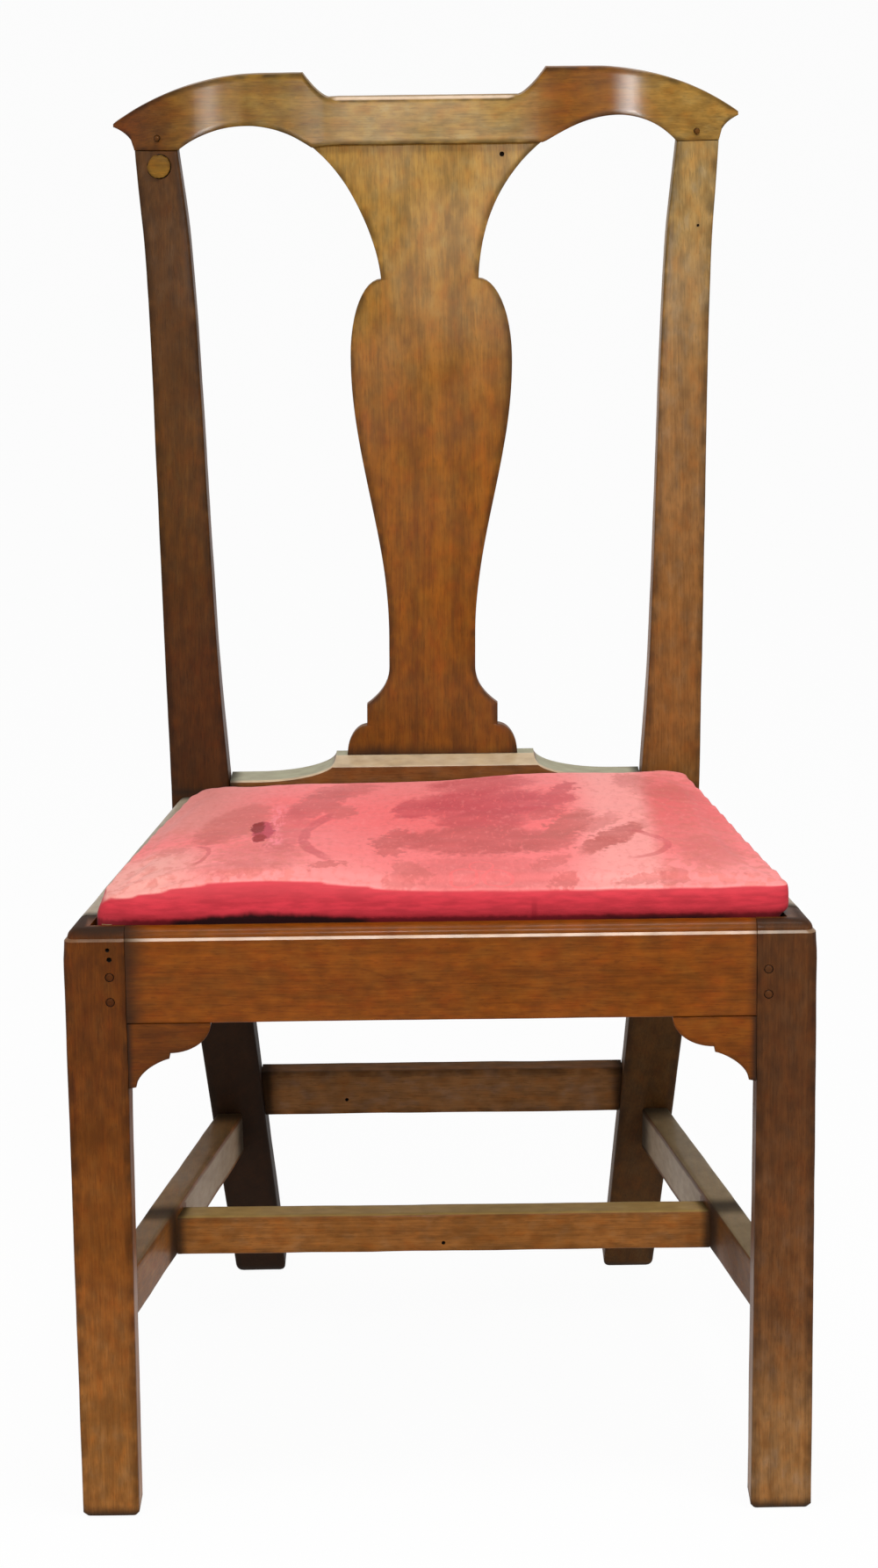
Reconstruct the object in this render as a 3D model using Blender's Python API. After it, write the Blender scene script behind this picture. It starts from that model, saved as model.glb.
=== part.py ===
"""Fiddleback side chair: a joined wooden frame with a solid vase splat and a drop-in seat.

Metres, +Z up. The front of the chair faces -Y, and left means -X, as seen from the front.
Points are worked out as (x, depth behind the front legs' front faces, height above the floor).
The origin is on the floor at the middle of the chair's footprint.
"""
import math

import bmesh
import bpy
from mathutils import Matrix, Vector

# Fit between neighbouring pieces
CLEARANCE = 0.0003
ROOT = 0.004                     # how far a tenon starts inside its own piece
WELD = 0.000002                  # points of one outline that fall together

# Seat frame
FRONT_WIDTH = 0.520              # over the front legs
REAR_WIDTH = 0.414               # over the rear posts at the seat
SEAT_DEPTH = 0.396               # front of the legs to front of the rear posts
RAIL_TOP = 0.434
RAIL_HEIGHT = 0.0676
FRONT_RAIL_THICKNESS = 0.030
SIDE_RAIL_THICKNESS = 0.032
REAR_RAIL_THICKNESS = 0.028
RABBET_DEPTH = 0.018             # ledge below the rail top that carries the drop-in seat
FRONT_LIP = 0.0135
SIDE_LIP = 0.0165
MOULDING = 0.0084                # height of the rounded top edge of the rails
MOULDING_STEP = 0.0008           # small bevel under the rounding

# Front legs and brackets
LEG = 0.040                      # square section
LEG_CHAMFER = 0.008              # along the inner back corner
CHAMFER_STOP = 0.030             # where the chamfer runs out, below the rails
FOOT_EASE = 0.002                # bevel round the soles
EDGE_EASE = 0.0008               # small bevel on worn edges
BRACKET_WIDTH = 0.058
BRACKET_HEIGHT = 0.047
BRACKET_THICKNESS = 0.022
BRACKET_STEP = 0.004             # upright between its two curves
BRACKET_BLUNT = 0.10             # radians left off each curve, so that the tips are not sharp

# Rear posts, each one piece from floor to crest
FOOT_SPREAD = 0.348              # over the rear feet
TOP_SPREAD = 0.4536              # over the posts under the crest
FLARE_SPREAD = 0.4414            # over the posts where the top flare begins
WAIST_SPREAD = 0.422
POST_WIDTH_FOOT = 0.041
POST_WIDTH_SEAT = 0.0465
POST_WIDTH_WAIST = 0.0415
POST_WIDTH_FLARE = 0.0355
POST_WIDTH_TOP = 0.0318
POST_THICKNESS_FOOT = 0.036
POST_THICKNESS_SEAT = 0.038
POST_THICKNESS_TOP = 0.026
WAIST_RISE = 0.106               # from the rail top to the waist
FLARE_DROP = 0.084               # from the crest joint down to the start of the flare
BACK_HEIGHT = 0.500              # from the rail top to the crest joint
LEG_RAKE = 0.103                 # back foot behind the seat
LEG_SWEEP = 1.2                  # 1 would make the back leg straight
BACK_RAKE = 0.085                # crest joint behind the seat
BACK_CURVE = 0.3                 # share of that lean that comes in towards the top
PLUG_DIAMETER = 0.0165
PLUG_DEPTH = 0.008
PLUG_DROP = 0.014                # below the crest joint

# Crest rail
CREST_THICKNESS = 0.026
CREST_RISE = 0.0575              # shoulders above the joint
CREST_DIP = 0.0375               # flat middle above the joint
STEP_INNER = 0.072               # half-widths where the step up to the shoulder starts and ends
STEP_OUTER = 0.094
STEP_CURVE = 1.5                 # 1 would make that step straight
SHOULDER_FLAT = 0.130            # half-width where the shoulder starts to fall
SHOULDER_RADIUS = 0.200
EAR_REACH = 0.0154               # ear tip beyond the post
EAR_RADIUS = 0.033               # hollow under the ear
EAR_FLATTEN = 0.84               # that hollow is a little lower than round
EAR_SWEEP = 0.006                # ear tips sweep back
ARCH_RISE = 0.019
CREST_HOLLOW = 0.007             # middle of the crest lies behind its ends
HOLLOW_HALF = 0.165

# Splat
SPLAT_THICKNESS = 0.011
SPLAT_SETBACK = 0.012            # behind the front of the posts
SPLAT_TOP_HALF = 0.0905
NOTCH_HALF = 0.0372
NOTCH_DROP = 0.1034              # below the crest joint
BELLY_HALF = 0.0634
BELLY_DROP = 0.162
NECK_HALF = 0.0339
NECK_RISE = 0.066                # above the shoe, where the cove of the base ends
WAIST_LENGTH = 0.022             # straight stretch above the cove
FILLET_HALF = 0.0515
FILLET_RISE = 0.0235             # top of the base's round
FILLET_LENGTH = 0.0125
BASE_HALF = 0.067
SPLAT_TENON = 0.012
SPLAT_TONGUE = 0.007             # thickness of its tenons
SPLAT_TENON_INSET = 0.008        # tenons narrower than the splat at each side

# Shoe under the splat
SHOE_RISE = 0.032                # raised middle above the rails
SHOE_HALF = 0.0765               # half-width of the raised middle
SHOE_END_DROP = 0.0145           # from the middle down to the ends
SHOE_COVE = 0.062                # run of the hollow down to the ends
SHOE_CHAMFER = 0.008
SHOE_DEPTH = 0.036
SHOE_PROUD = 0.0035              # in front of the posts

# Stretchers
SIDE_STRETCHER_HEIGHT = 0.038
SIDE_STRETCHER_THICKNESS = 0.021
STRETCHER_BOTTOM = 0.1173
STRETCHER_INSET = 0.001          # behind the legs' outer faces
MEDIAL_HEIGHT = 0.030
MEDIAL_THICKNESS = 0.024
MEDIAL_DEPTH = 0.220
REAR_STRETCHER_BOTTOM = 0.152
REAR_STRETCHER_HEIGHT = 0.034
REAR_STRETCHER_THICKNESS = 0.026
REAR_STRETCHER_INSET = 0.009     # behind the front of the posts

# Joints
RAIL_TENON_LENGTH = 0.016
RAIL_TENON_THICKNESS = 0.009
TENON_SHOULDER = 0.006           # above and below a rail's tenon
FRONT_TENON_DEPTH = 0.0155       # middle of the front rail's tenon behind its face
STRETCHER_TENON_LENGTH = 0.014
STRETCHER_TENON_THICKNESS = 0.008
STRETCHER_SHOULDER = 0.005
POST_TENON_HEIGHT = 0.022
POST_TENON_WIDTH = 0.018
POST_TENON_THICKNESS = 0.009
PEG_DIAMETER = 0.006
PEG_LENGTH = 0.026
PEG_SPACING = 0.018
CREST_PEG_DIAMETER = 0.0045
CREST_PEG_LENGTH = 0.019
CREST_PEG_RISE = 0.0075
PEG_SIDES = 10
PLUG_SIDES = 20
BLOCK_LEG = 0.050                # corner blocks, along each rail
BLOCK_DROP = 0.004               # front blocks stay below the ledge

# Drop-in seat
SEAT_GAP = 0.0015                # to the lip of the rails
SEAT_BACK_GAP = 0.002            # to the shoe
SEAT_FRAME_THICKNESS = 0.016
SEAT_FRAME_WIDTH = 0.045
SEAT_TENON_LENGTH = 0.020
SEAT_TENON_WIDTH = 0.026
SEAT_TENON_THICKNESS = 0.006
SEAT_CORNER = 0.008
COVER_THICKNESS = 0.0012
HEM_WIDTH = 0.030
EDGE_ROUND = 0.007
FRONT_EDGE_RISE = 0.023          # edge of the seat above the rails
BACK_EDGE_RISE = 0.013
CROWN = 0.009
CROWN_RINGS = (0.14, 0.32, 0.52, 0.74, 0.93)   # shares of the way from the edge to the middle
WEB_WIDTH = 0.045
WEB_THICKNESS = 0.0015
WEB_COUNT = 3
WEB_END = 0.012                  # from the seat frame's outer edge to the end of a strap
CLOTH_THICKNESS = 0.001
CLOTH_INSET = 0.006

# Heights and depths that follow from the sizes above
RAIL_BOTTOM = RAIL_TOP - RAIL_HEIGHT
CREST_JOINT = RAIL_TOP + BACK_HEIGHT
SHOE_TOP = RAIL_TOP + SHOE_RISE
SHOE_END_TOP = SHOE_TOP - SHOE_END_DROP
LEDGE = RAIL_TOP - RABBET_DEPTH
ARRIS = RAIL_TOP - MOULDING
OVERALL_DEPTH = SEAT_DEPTH + LEG_RAKE + POST_THICKNESS_FOOT
TENON_LOW = RAIL_BOTTOM + TENON_SHOULDER
TENON_HIGH = LEDGE - TENON_SHOULDER
SHOE_FRONT = SEAT_DEPTH - SHOE_PROUD
SEAT_FRONT = FRONT_LIP + SEAT_GAP
SEAT_BACK = SHOE_FRONT - SEAT_BACK_GAP
HEM_BOTTOM = LEDGE + CLEARANCE
SEAT_FRAME_BOTTOM = HEM_BOTTOM + COVER_THICKNESS + CLEARANCE
SEAT_FRAME_TOP = SEAT_FRAME_BOTTOM + SEAT_FRAME_THICKNESS
WEB_LOW = SEAT_FRAME_TOP + CLEARANCE
WEB_HIGH = WEB_LOW + WEB_THICKNESS + CLEARANCE
CLOTH_BOTTOM = WEB_HIGH + WEB_THICKNESS + CLEARANCE
STUFFING_BOTTOM = CLOTH_BOTTOM + CLOTH_THICKNESS + CLEARANCE

SIDES = {"left": -1, "right": 1}


# Mesh helpers

def solid(name, points, faces):
    """A closed mesh from points given as x, depth behind the front faces, and height."""
    mesh = bpy.data.meshes.new(name)
    mesh.from_pydata([(x, depth - OVERALL_DEPTH / 2, z) for x, depth, z in points], [], faces)
    shape = bmesh.new()
    shape.from_mesh(mesh)
    bmesh.ops.remove_doubles(shape, verts=shape.verts, dist=WELD)
    bmesh.ops.recalc_face_normals(shape, faces=shape.faces)
    shape.to_mesh(mesh)
    shape.free()
    piece = bpy.data.objects.new(name, mesh)
    bpy.context.scene.collection.objects.link(piece)
    return piece


def loft(name, sections):
    """A solid skinned through sections that all have the same number of points."""
    count = len(sections[0])
    points = [point for section in sections for point in section]
    last = len(points) - count
    faces = [tuple(range(count)), tuple(range(last, last + count))]
    for start in range(0, last, count):
        for i in range(count):
            j = (i + 1) % count
            faces.append((start + i, start + j, start + count + j, start + count + i))
    return solid(name, points, faces)


def prism(name, outline, low, high):
    """An upright solid on an outline of (x, depth) points."""
    return loft(name, [[(x, depth, z) for x, depth in outline] for z in (low, high)])


def beam(name, start, end, size, axis, grow=0.0):
    """A rectangular bar between two points, its ends square to one axis, grown all round."""
    across = [i for i in range(3) if i != axis]
    forward = math.copysign(grow, end[axis] - start[axis])
    sections = []
    for centre, shift in ((start, -forward), (end, forward)):
        section = []
        for a, b in ((-1, -1), (1, -1), (1, 1), (-1, 1)):
            point = list(centre)
            point[axis] += shift
            point[across[0]] += a * (size[0] / 2 + grow)
            point[across[1]] += b * (size[1] / 2 + grow)
            section.append(tuple(point))
        sections.append(section)
    return loft(name, sections)


def rod(name, start, end, diameter, sides, grow=0.0):
    """A round pin between two points, grown all round."""
    start = Vector(start)
    end = Vector(end)
    along = (end - start).normalized()
    side = along.orthogonal().normalized()
    other = along.cross(side)
    radius = diameter / 2 + grow
    sections = []
    for centre in (start - along * grow, end + along * grow):
        angles = [2 * math.pi * i / sides for i in range(sides)]
        sections.append([tuple(centre + side * radius * math.cos(a) + other * radius * math.sin(a))
                         for a in angles])
    return loft(name, sections)


def joined(name, pieces):
    """One object holding several separate solids."""
    shape = bmesh.new()
    for piece in pieces:
        shape.from_mesh(piece.data)
        bpy.data.objects.remove(piece)
    mesh = bpy.data.meshes.new(name)
    shape.to_mesh(mesh)
    shape.free()
    whole = bpy.data.objects.new(name, mesh)
    bpy.context.scene.collection.objects.link(whole)
    return whole


def combine(piece, tools, operation):
    """Apply a Boolean of several separate tools to a piece."""
    tool = joined("tool", tools)
    modifier = piece.modifiers.new(operation, "BOOLEAN")
    modifier.operation = operation
    modifier.object = tool
    graph = bpy.context.evaluated_depsgraph_get()
    result = bpy.data.meshes.new_from_object(piece.evaluated_get(graph))
    piece.modifiers.clear()
    piece.data = result
    bpy.data.objects.remove(tool)


def tenon(male, female, start, end, size, axis):
    """Grow a tenon on one piece and cut its mortise, wider by the clearance, in the other."""
    combine(male, [beam("tenon", start, end, size, axis)], "UNION")
    combine(female, [beam("mortise", start, end, size, axis, CLEARANCE)], "DIFFERENCE")


def pinned(name, start, end, diameter, sides, pieces):
    """A round pin, with its hole cut through the pieces that it holds."""
    for piece in pieces:
        combine(piece, [rod("hole", start, end, diameter, sides, CLEARANCE)], "DIFFERENCE")
    return rod(name, start, end, diameter, sides)


def mix(a, b, t):
    return a + (b - a) * t


def steps(start, end, count):
    """Evenly spaced values from start to end, both included."""
    return [mix(start, end, i / count) for i in range(count + 1)]


def ease(stops, at):
    """The value at a place on a smooth line through (place, value) stops, with no overshoot."""
    places = [stop[0] for stop in stops]
    values = [stop[1] for stop in stops]
    slopes = [(values[i + 1] - values[i]) / (places[i + 1] - places[i]) for i in range(len(stops) - 1)]
    tangents = [slopes[0]]
    for a, b in zip(slopes, slopes[1:]):
        tangents.append(2 * a * b / (a + b) if a * b > 0 else 0.0)
    tangents.append(slopes[-1])
    i = max(k for k in range(len(slopes)) if k == 0 or places[k] <= at)
    run = places[i + 1] - places[i]
    t = (at - places[i]) / run
    return (values[i] * (1 + 2 * t) * (1 - t) ** 2 + tangents[i] * run * t * (1 - t) ** 2
            + values[i + 1] * t * t * (3 - 2 * t) + tangents[i + 1] * run * t * t * (t - 1))


# Lines that several pieces share

def rail_outer(depth):
    """Half-width over the side rails."""
    return mix(FRONT_WIDTH, REAR_WIDTH, depth / SEAT_DEPTH) / 2


def rail_inner(depth):
    return rail_outer(depth) - SIDE_RAIL_THICKNESS


def back_lean(z):
    """How far the back lies behind the seat at a height above the rails."""
    rise = (z - RAIL_TOP) / (CREST_JOINT - RAIL_TOP)
    return BACK_RAKE * rise * mix(1.0, rise, BACK_CURVE)


def post_front(z):
    """Depth of the rear posts' front faces."""
    if z < RAIL_BOTTOM:
        return SEAT_DEPTH + LEG_RAKE * (1 - z / RAIL_BOTTOM) ** LEG_SWEEP
    return SEAT_DEPTH + back_lean(max(z, RAIL_TOP))


def post_value(z, foot, seat, waist, flare, top):
    """A post's size at a height: straight below the seat, even at the rails, curved above them."""
    if z < RAIL_BOTTOM:
        return mix(foot, seat, z / RAIL_BOTTOM)
    if z <= RAIL_TOP:
        return seat
    stops = [(RAIL_TOP, seat), (RAIL_TOP + WAIST_RISE, waist), (CREST_JOINT - FLARE_DROP, flare),
             (CREST_JOINT, top)]
    return ease(stops, z)


def post_outer(z):
    spread = post_value(z, FOOT_SPREAD, REAR_WIDTH, WAIST_SPREAD, FLARE_SPREAD, TOP_SPREAD)
    return spread / 2


def post_inner(z):
    return post_outer(z) - post_value(z, POST_WIDTH_FOOT, POST_WIDTH_SEAT, POST_WIDTH_WAIST,
                                      POST_WIDTH_FLARE, POST_WIDTH_TOP)


def post_thickness(z):
    if z < RAIL_BOTTOM:
        return mix(POST_THICKNESS_FOOT, POST_THICKNESS_SEAT, z / RAIL_BOTTOM)
    return mix(POST_THICKNESS_SEAT, POST_THICKNESS_TOP,
               max(0.0, z - RAIL_TOP) / (CREST_JOINT - RAIL_TOP))


def moulding_profile():
    """Inset and height of the rounded top edge that runs round the rails and leg tops."""
    rise = MOULDING - MOULDING_STEP
    profile = [(0.0, ARRIS)]
    for angle in steps(0, math.pi / 2, 4):
        profile.append((MOULDING_STEP + rise * (1 - math.cos(angle)),
                        ARRIS + MOULDING_STEP + rise * math.sin(angle)))
    return profile


def seat_half(depth):
    """Half-width of the drop-in seat."""
    return rail_outer(depth) - SIDE_LIP - SEAT_GAP


def seat_well():
    """The recess for the drop-in seat, cut from the rails and the leg tops."""
    back = SEAT_DEPTH + SIDE_LIP
    outline = []
    for depth, side in ((FRONT_LIP, -1), (FRONT_LIP, 1), (back, 1), (back, -1)):
        outline.append((side * (rail_outer(depth) - SIDE_LIP), depth))
    return prism("seat_well", outline, LEDGE, RAIL_TOP + MOULDING)


# Frame pieces

def front_leg(side):
    """A square leg whose outer face follows the side rail, moulded round its top."""
    inner = FRONT_WIDTH / 2 - LEG

    def section(z, inset, chamfer, ease_all=0.0):
        front = inset + ease_all
        back = LEG - ease_all
        near = rail_outer(front) - inset - ease_all
        far = rail_outer(back) - inset - ease_all
        low = inner + ease_all
        plan = [(low, front), (near, front), (far, back), (low + chamfer, back), (low, back - chamfer)]
        return [(side * x, depth, z) for x, depth in plan]

    sections = [section(0.0, 0.0, LEG_CHAMFER, FOOT_EASE), section(FOOT_EASE, 0.0, LEG_CHAMFER),
                section(RAIL_BOTTOM - CHAMFER_STOP, 0.0, LEG_CHAMFER),
                section(RAIL_BOTTOM - CHAMFER_STOP / 3, 0.0, EDGE_EASE)]
    sections += [section(z, inset, EDGE_EASE) for inset, z in moulding_profile()]
    leg = loft("front_leg", sections)
    combine(leg, [seat_well()], "DIFFERENCE")
    return leg


def rear_post(side):
    """Back leg and back post in one piece: raked foot, upright at the rails, leaning above."""
    def section(z, inset=0.0):
        front = post_front(z) + inset
        back = post_front(z) + post_thickness(z) - inset
        outer = post_outer(z) - inset
        inner = post_inner(z) + inset
        return [(side * x, depth, z)
                for x, depth in ((outer, front), (inner, front), (inner, back), (outer, back))]

    sections = [section(0.0, FOOT_EASE), section(FOOT_EASE)]
    sections += [section(z) for z in steps(FOOT_EASE, RAIL_BOTTOM, 8)[1:]]
    sections += [section(z) for z in steps(RAIL_TOP, CREST_JOINT, 16)]
    return loft("rear_post", sections)


def rail_profile():
    """Inset and height round a rail's section, rounded at its outer top edge."""
    return [(0.0, RAIL_BOTTOM)] + moulding_profile()


def front_seat_rail():
    half = FRONT_WIDTH / 2 - LEG - CLEARANCE
    outline = rail_profile() + [(FRONT_RAIL_THICKNESS, RAIL_TOP), (FRONT_RAIL_THICKNESS, RAIL_BOTTOM)]
    rail = loft("front_seat_rail", [[(x, depth, z) for depth, z in outline] for x in (-half, half)])
    combine(rail, [seat_well()], "DIFFERENCE")
    return rail


def side_seat_rail(side):
    outline = rail_profile() + [(SIDE_RAIL_THICKNESS, RAIL_TOP), (SIDE_RAIL_THICKNESS, RAIL_BOTTOM)]
    sections = []
    for depth in (LEG + CLEARANCE, SEAT_DEPTH - CLEARANCE):
        sections.append([(side * (rail_outer(depth) - inset), depth, z) for inset, z in outline])
    rail = loft("side_seat_rail", sections)
    combine(rail, [seat_well()], "DIFFERENCE")
    return rail


def rear_seat_rail():
    """Stands between the posts, its top level with the ledge, and carries the shoe."""
    half = REAR_WIDTH / 2 - POST_WIDTH_SEAT - CLEARANCE
    middle = (RAIL_BOTTOM + LEDGE) / 2
    depth = SEAT_DEPTH + REAR_RAIL_THICKNESS / 2
    size = (REAR_RAIL_THICKNESS, LEDGE - RAIL_BOTTOM)
    return beam("rear_seat_rail", (-half, depth, middle), (half, depth, middle), size, 0)


def front_bracket(side):
    """A round over a hollow, with a small upright step between them."""
    leg_face = FRONT_WIDTH / 2 - LEG - CLEARANCE
    tip = leg_face - BRACKET_WIDTH
    top = RAIL_BOTTOM - CLEARANCE
    middle = tip + BRACKET_WIDTH / 2
    step_top = top - (BRACKET_HEIGHT - BRACKET_STEP) / 2
    under = []
    for angle in steps(BRACKET_BLUNT, math.pi / 2, 8):
        under.append((middle - (middle - tip) * math.cos(angle), top - (top - step_top) * math.sin(angle)))
    low = top - BRACKET_HEIGHT
    step_low = step_top - BRACKET_STEP
    for angle in steps(math.pi / 2, BRACKET_BLUNT, 8):
        under.append((middle + CLEARANCE + (leg_face - middle - CLEARANCE) * math.cos(angle),
                      low + (step_low - low) * math.sin(angle)))
    sections = []
    for x, z in under:
        sections.append([(side * x, 0.0, z), (side * x, BRACKET_THICKNESS, z),
                         (side * x, BRACKET_THICKNESS, top), (side * x, 0.0, top)])
    return loft("front_bracket", sections)


def crest_top(x):
    """Height of the crest's top edge at a half-width."""
    if x <= STEP_INNER:
        return CREST_JOINT + CREST_DIP
    if x < STEP_OUTER:
        rise = (x - STEP_INNER) / (STEP_OUTER - STEP_INNER)
        return CREST_JOINT + mix(CREST_DIP, CREST_RISE, rise ** STEP_CURVE)
    fall = max(0.0, x - SHOULDER_FLAT)
    return CREST_JOINT + CREST_RISE - SHOULDER_RADIUS + math.sqrt(SHOULDER_RADIUS ** 2 - fall ** 2)


def crest_bottom(x):
    """Height of the crest's underside: level at the joints, arched between them, rising at the ears."""
    outer = TOP_SPREAD / 2
    inner = outer - POST_WIDTH_TOP
    base = CREST_JOINT + CLEARANCE
    if SPLAT_TOP_HALF < x < inner:
        half = (inner - SPLAT_TOP_HALF) / 2
        radius = (half ** 2 + ARCH_RISE ** 2) / (2 * ARCH_RISE)
        offset = x - SPLAT_TOP_HALF - half
        return base + ARCH_RISE - radius + math.sqrt(radius ** 2 - offset ** 2)
    if x > outer:
        reach = EAR_RADIUS - (x - outer)
        return base + math.sqrt(EAR_RADIUS ** 2 - reach ** 2) * EAR_FLATTEN
    return base


def crest_bow(x):
    """How far the crest's front lies behind the posts: hollow in the middle, ears swept back."""
    hollow = CREST_HOLLOW * (0.5 + 0.5 * math.cos(math.pi * min(1.0, x / HOLLOW_HALF)))
    beyond = max(0.0, x - TOP_SPREAD / 2) / EAR_REACH
    return hollow + EAR_SWEEP * beyond ** STEP_CURVE


def crest_rail():
    outer = TOP_SPREAD / 2
    inner = outer - POST_WIDTH_TOP
    stations = steps(0.0, STEP_INNER, 5) + steps(STEP_INNER, STEP_OUTER, 6)[1:]
    stations += steps(STEP_OUTER, inner, 14)[1:] + steps(inner, outer, 3)[1:]
    stations += [outer + EAR_REACH * t * t for t in steps(0.0, 1.0, 6)[1:]]
    sections = []
    for x in [-x for x in stations[:0:-1]] + stations:
        half = abs(x)
        low = crest_bottom(half)
        high = max(crest_top(half), low + EDGE_EASE)
        front = SEAT_DEPTH + crest_bow(half)
        sections.append([(x, front + back_lean(low), low), (x, front + back_lean(high), high),
                         (x, front + back_lean(high) + CREST_THICKNESS, high),
                         (x, front + back_lean(low) + CREST_THICKNESS, low)])
    return loft("crest_rail", sections)


def splat_half(z):
    """Half-width of the vase outline at a height."""
    notch = CREST_JOINT - NOTCH_DROP
    belly = CREST_JOINT - BELLY_DROP
    cove_end = SHOE_TOP + NECK_RISE
    fillet_low = SHOE_TOP + FILLET_RISE
    fillet_high = fillet_low + FILLET_LENGTH
    if z >= notch:
        spread = SPLAT_TOP_HALF - NOTCH_HALF
        radius = (NOTCH_DROP ** 2 + spread ** 2) / (2 * spread)
        return NOTCH_HALF + radius - math.sqrt(radius ** 2 - (z - notch) ** 2)
    if z >= belly:
        rise = (z - belly) / (notch - belly)
        return NOTCH_HALF + (BELLY_HALF - NOTCH_HALF) * math.sqrt(max(0.0, 1 - rise ** 2))
    if z >= cove_end + WAIST_LENGTH:
        rise = (z - cove_end - WAIST_LENGTH) / (belly - cove_end - WAIST_LENGTH)
        return mix(NECK_HALF, BELLY_HALF, 0.5 - 0.5 * math.cos(math.pi * rise))
    if z >= cove_end:
        return NECK_HALF
    if z >= fillet_high:
        fall = (cove_end - z) / (cove_end - fillet_high)
        return FILLET_HALF - (FILLET_HALF - NECK_HALF) * math.sqrt(max(0.0, 1 - fall ** 2))
    if z >= fillet_low:
        return FILLET_HALF
    rise = (z - SHOE_TOP) / FILLET_RISE
    return FILLET_HALF + (BASE_HALF - FILLET_HALF) * math.sqrt(max(0.0, 1 - rise ** 2))


def splat_heights():
    """Heights of the splat's sections, closer where the outline turns."""
    notch = CREST_JOINT - NOTCH_DROP
    belly = CREST_JOINT - BELLY_DROP
    cove_end = SHOE_TOP + NECK_RISE
    fillet_low = SHOE_TOP + FILLET_RISE
    fillet_high = fillet_low + FILLET_LENGTH
    quarter = steps(0, math.pi / 2, 6)
    heights = [SHOE_TOP + CLEARANCE]
    heights += [SHOE_TOP + FILLET_RISE * math.sin(angle) for angle in quarter[1:]]
    heights += [cove_end - (cove_end - fillet_high) * math.cos(angle) for angle in quarter]
    heights += steps(cove_end + WAIST_LENGTH, belly, 10)
    heights += [belly + (notch - belly) * math.sin(angle) for angle in quarter[1:]]
    heights += steps(notch, CREST_JOINT, 8)[1:]
    return heights


def splat():
    sections = []
    for z in splat_heights():
        half = splat_half(z)
        front = post_front(z) + SPLAT_SETBACK
        sections.append([(-half, front, z), (half, front, z), (half, front + SPLAT_THICKNESS, z),
                         (-half, front + SPLAT_THICKNESS, z)])
    return loft("splat", sections)


def shoe():
    """Carries the foot of the splat: a raised middle with a chamfered edge, hollowed to the posts."""
    end = REAR_WIDTH / 2 - POST_WIDTH_SEAT - CLEARANCE
    base = LEDGE + CLEARANCE
    rise = SHOE_TOP - SHOE_END_TOP
    profile = [(0.0, SHOE_TOP), (SHOE_HALF, SHOE_TOP)]
    for angle in steps(0, math.pi / 2, 8)[1:]:
        profile.append((SHOE_HALF + SHOE_COVE * (1 - math.cos(angle)),
                        SHOE_TOP - rise * math.sin(angle)))
    profile.append((end, SHOE_END_TOP))
    mirrored = [(-x, z) for x, z in profile[:0:-1]]
    sections = []
    for x, top in mirrored + profile:
        chamfer = max(EDGE_EASE, top - SHOE_TOP + SHOE_CHAMFER)
        sections.append([(x, SHOE_FRONT, base), (x, SHOE_FRONT, top - chamfer),
                         (x, SHOE_FRONT + chamfer, top), (x, SHOE_FRONT + SHOE_DEPTH, top),
                         (x, SHOE_FRONT + SHOE_DEPTH, base)])
    return loft("shoe", sections)


def side_stretcher_line(z):
    """Middle of a side stretcher at its front and rear ends, as (x, depth)."""
    half = SIDE_STRETCHER_THICKNESS / 2
    front = (rail_outer(LEG) - STRETCHER_INSET - half, LEG)
    rear = (post_outer(z) - STRETCHER_INSET - half, post_front(z))
    return front, rear


def side_stretcher(side):
    low = STRETCHER_BOTTOM
    high = STRETCHER_BOTTOM + SIDE_STRETCHER_HEIGHT
    middle = (low + high) / 2
    half = SIDE_STRETCHER_THICKNESS / 2
    (front_x, _), (rear_x, _) = side_stretcher_line(middle)
    sections = []
    for x, ends in ((front_x, (LEG + CLEARANCE, LEG + CLEARANCE)),
                    (rear_x, (post_front(low) - CLEARANCE, post_front(high) - CLEARANCE))):
        sections.append([(side * (x - half), ends[0], low), (side * (x + half), ends[0], low),
                         (side * (x + half), ends[1], high), (side * (x - half), ends[1], high)])
    return loft("side_stretcher", sections)


def side_stretcher_x(depth):
    """Half-width to the middle of the side stretchers at a depth."""
    front, rear = side_stretcher_line(STRETCHER_BOTTOM + SIDE_STRETCHER_HEIGHT / 2)
    return mix(front[0], rear[0], (depth - front[1]) / (rear[1] - front[1]))


def medial_stretcher():
    low = STRETCHER_BOTTOM
    high = low + MEDIAL_HEIGHT
    sections = []
    for side in (-1, 1):
        ends = []
        for depth in (MEDIAL_DEPTH, MEDIAL_DEPTH + MEDIAL_THICKNESS):
            ends.append((side * (side_stretcher_x(depth) - SIDE_STRETCHER_THICKNESS / 2
                                 - 2 * CLEARANCE), depth))
        sections.append([(ends[0][0], ends[0][1], low), (ends[0][0], ends[0][1], high),
                         (ends[1][0], ends[1][1], high), (ends[1][0], ends[1][1], low)])
    return loft("medial_stretcher", sections)


def rear_stretcher():
    low = REAR_STRETCHER_BOTTOM
    high = low + REAR_STRETCHER_HEIGHT
    front = post_front((low + high) / 2) + REAR_STRETCHER_INSET
    back = front + REAR_STRETCHER_THICKNESS
    sections = []
    for side in (-1, 1):
        sections.append([(side * (post_inner(z) - CLEARANCE), depth, z)
                         for depth, z in ((front, low), (front, high), (back, high), (back, low))])
    return loft("rear_stretcher", sections)


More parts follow.
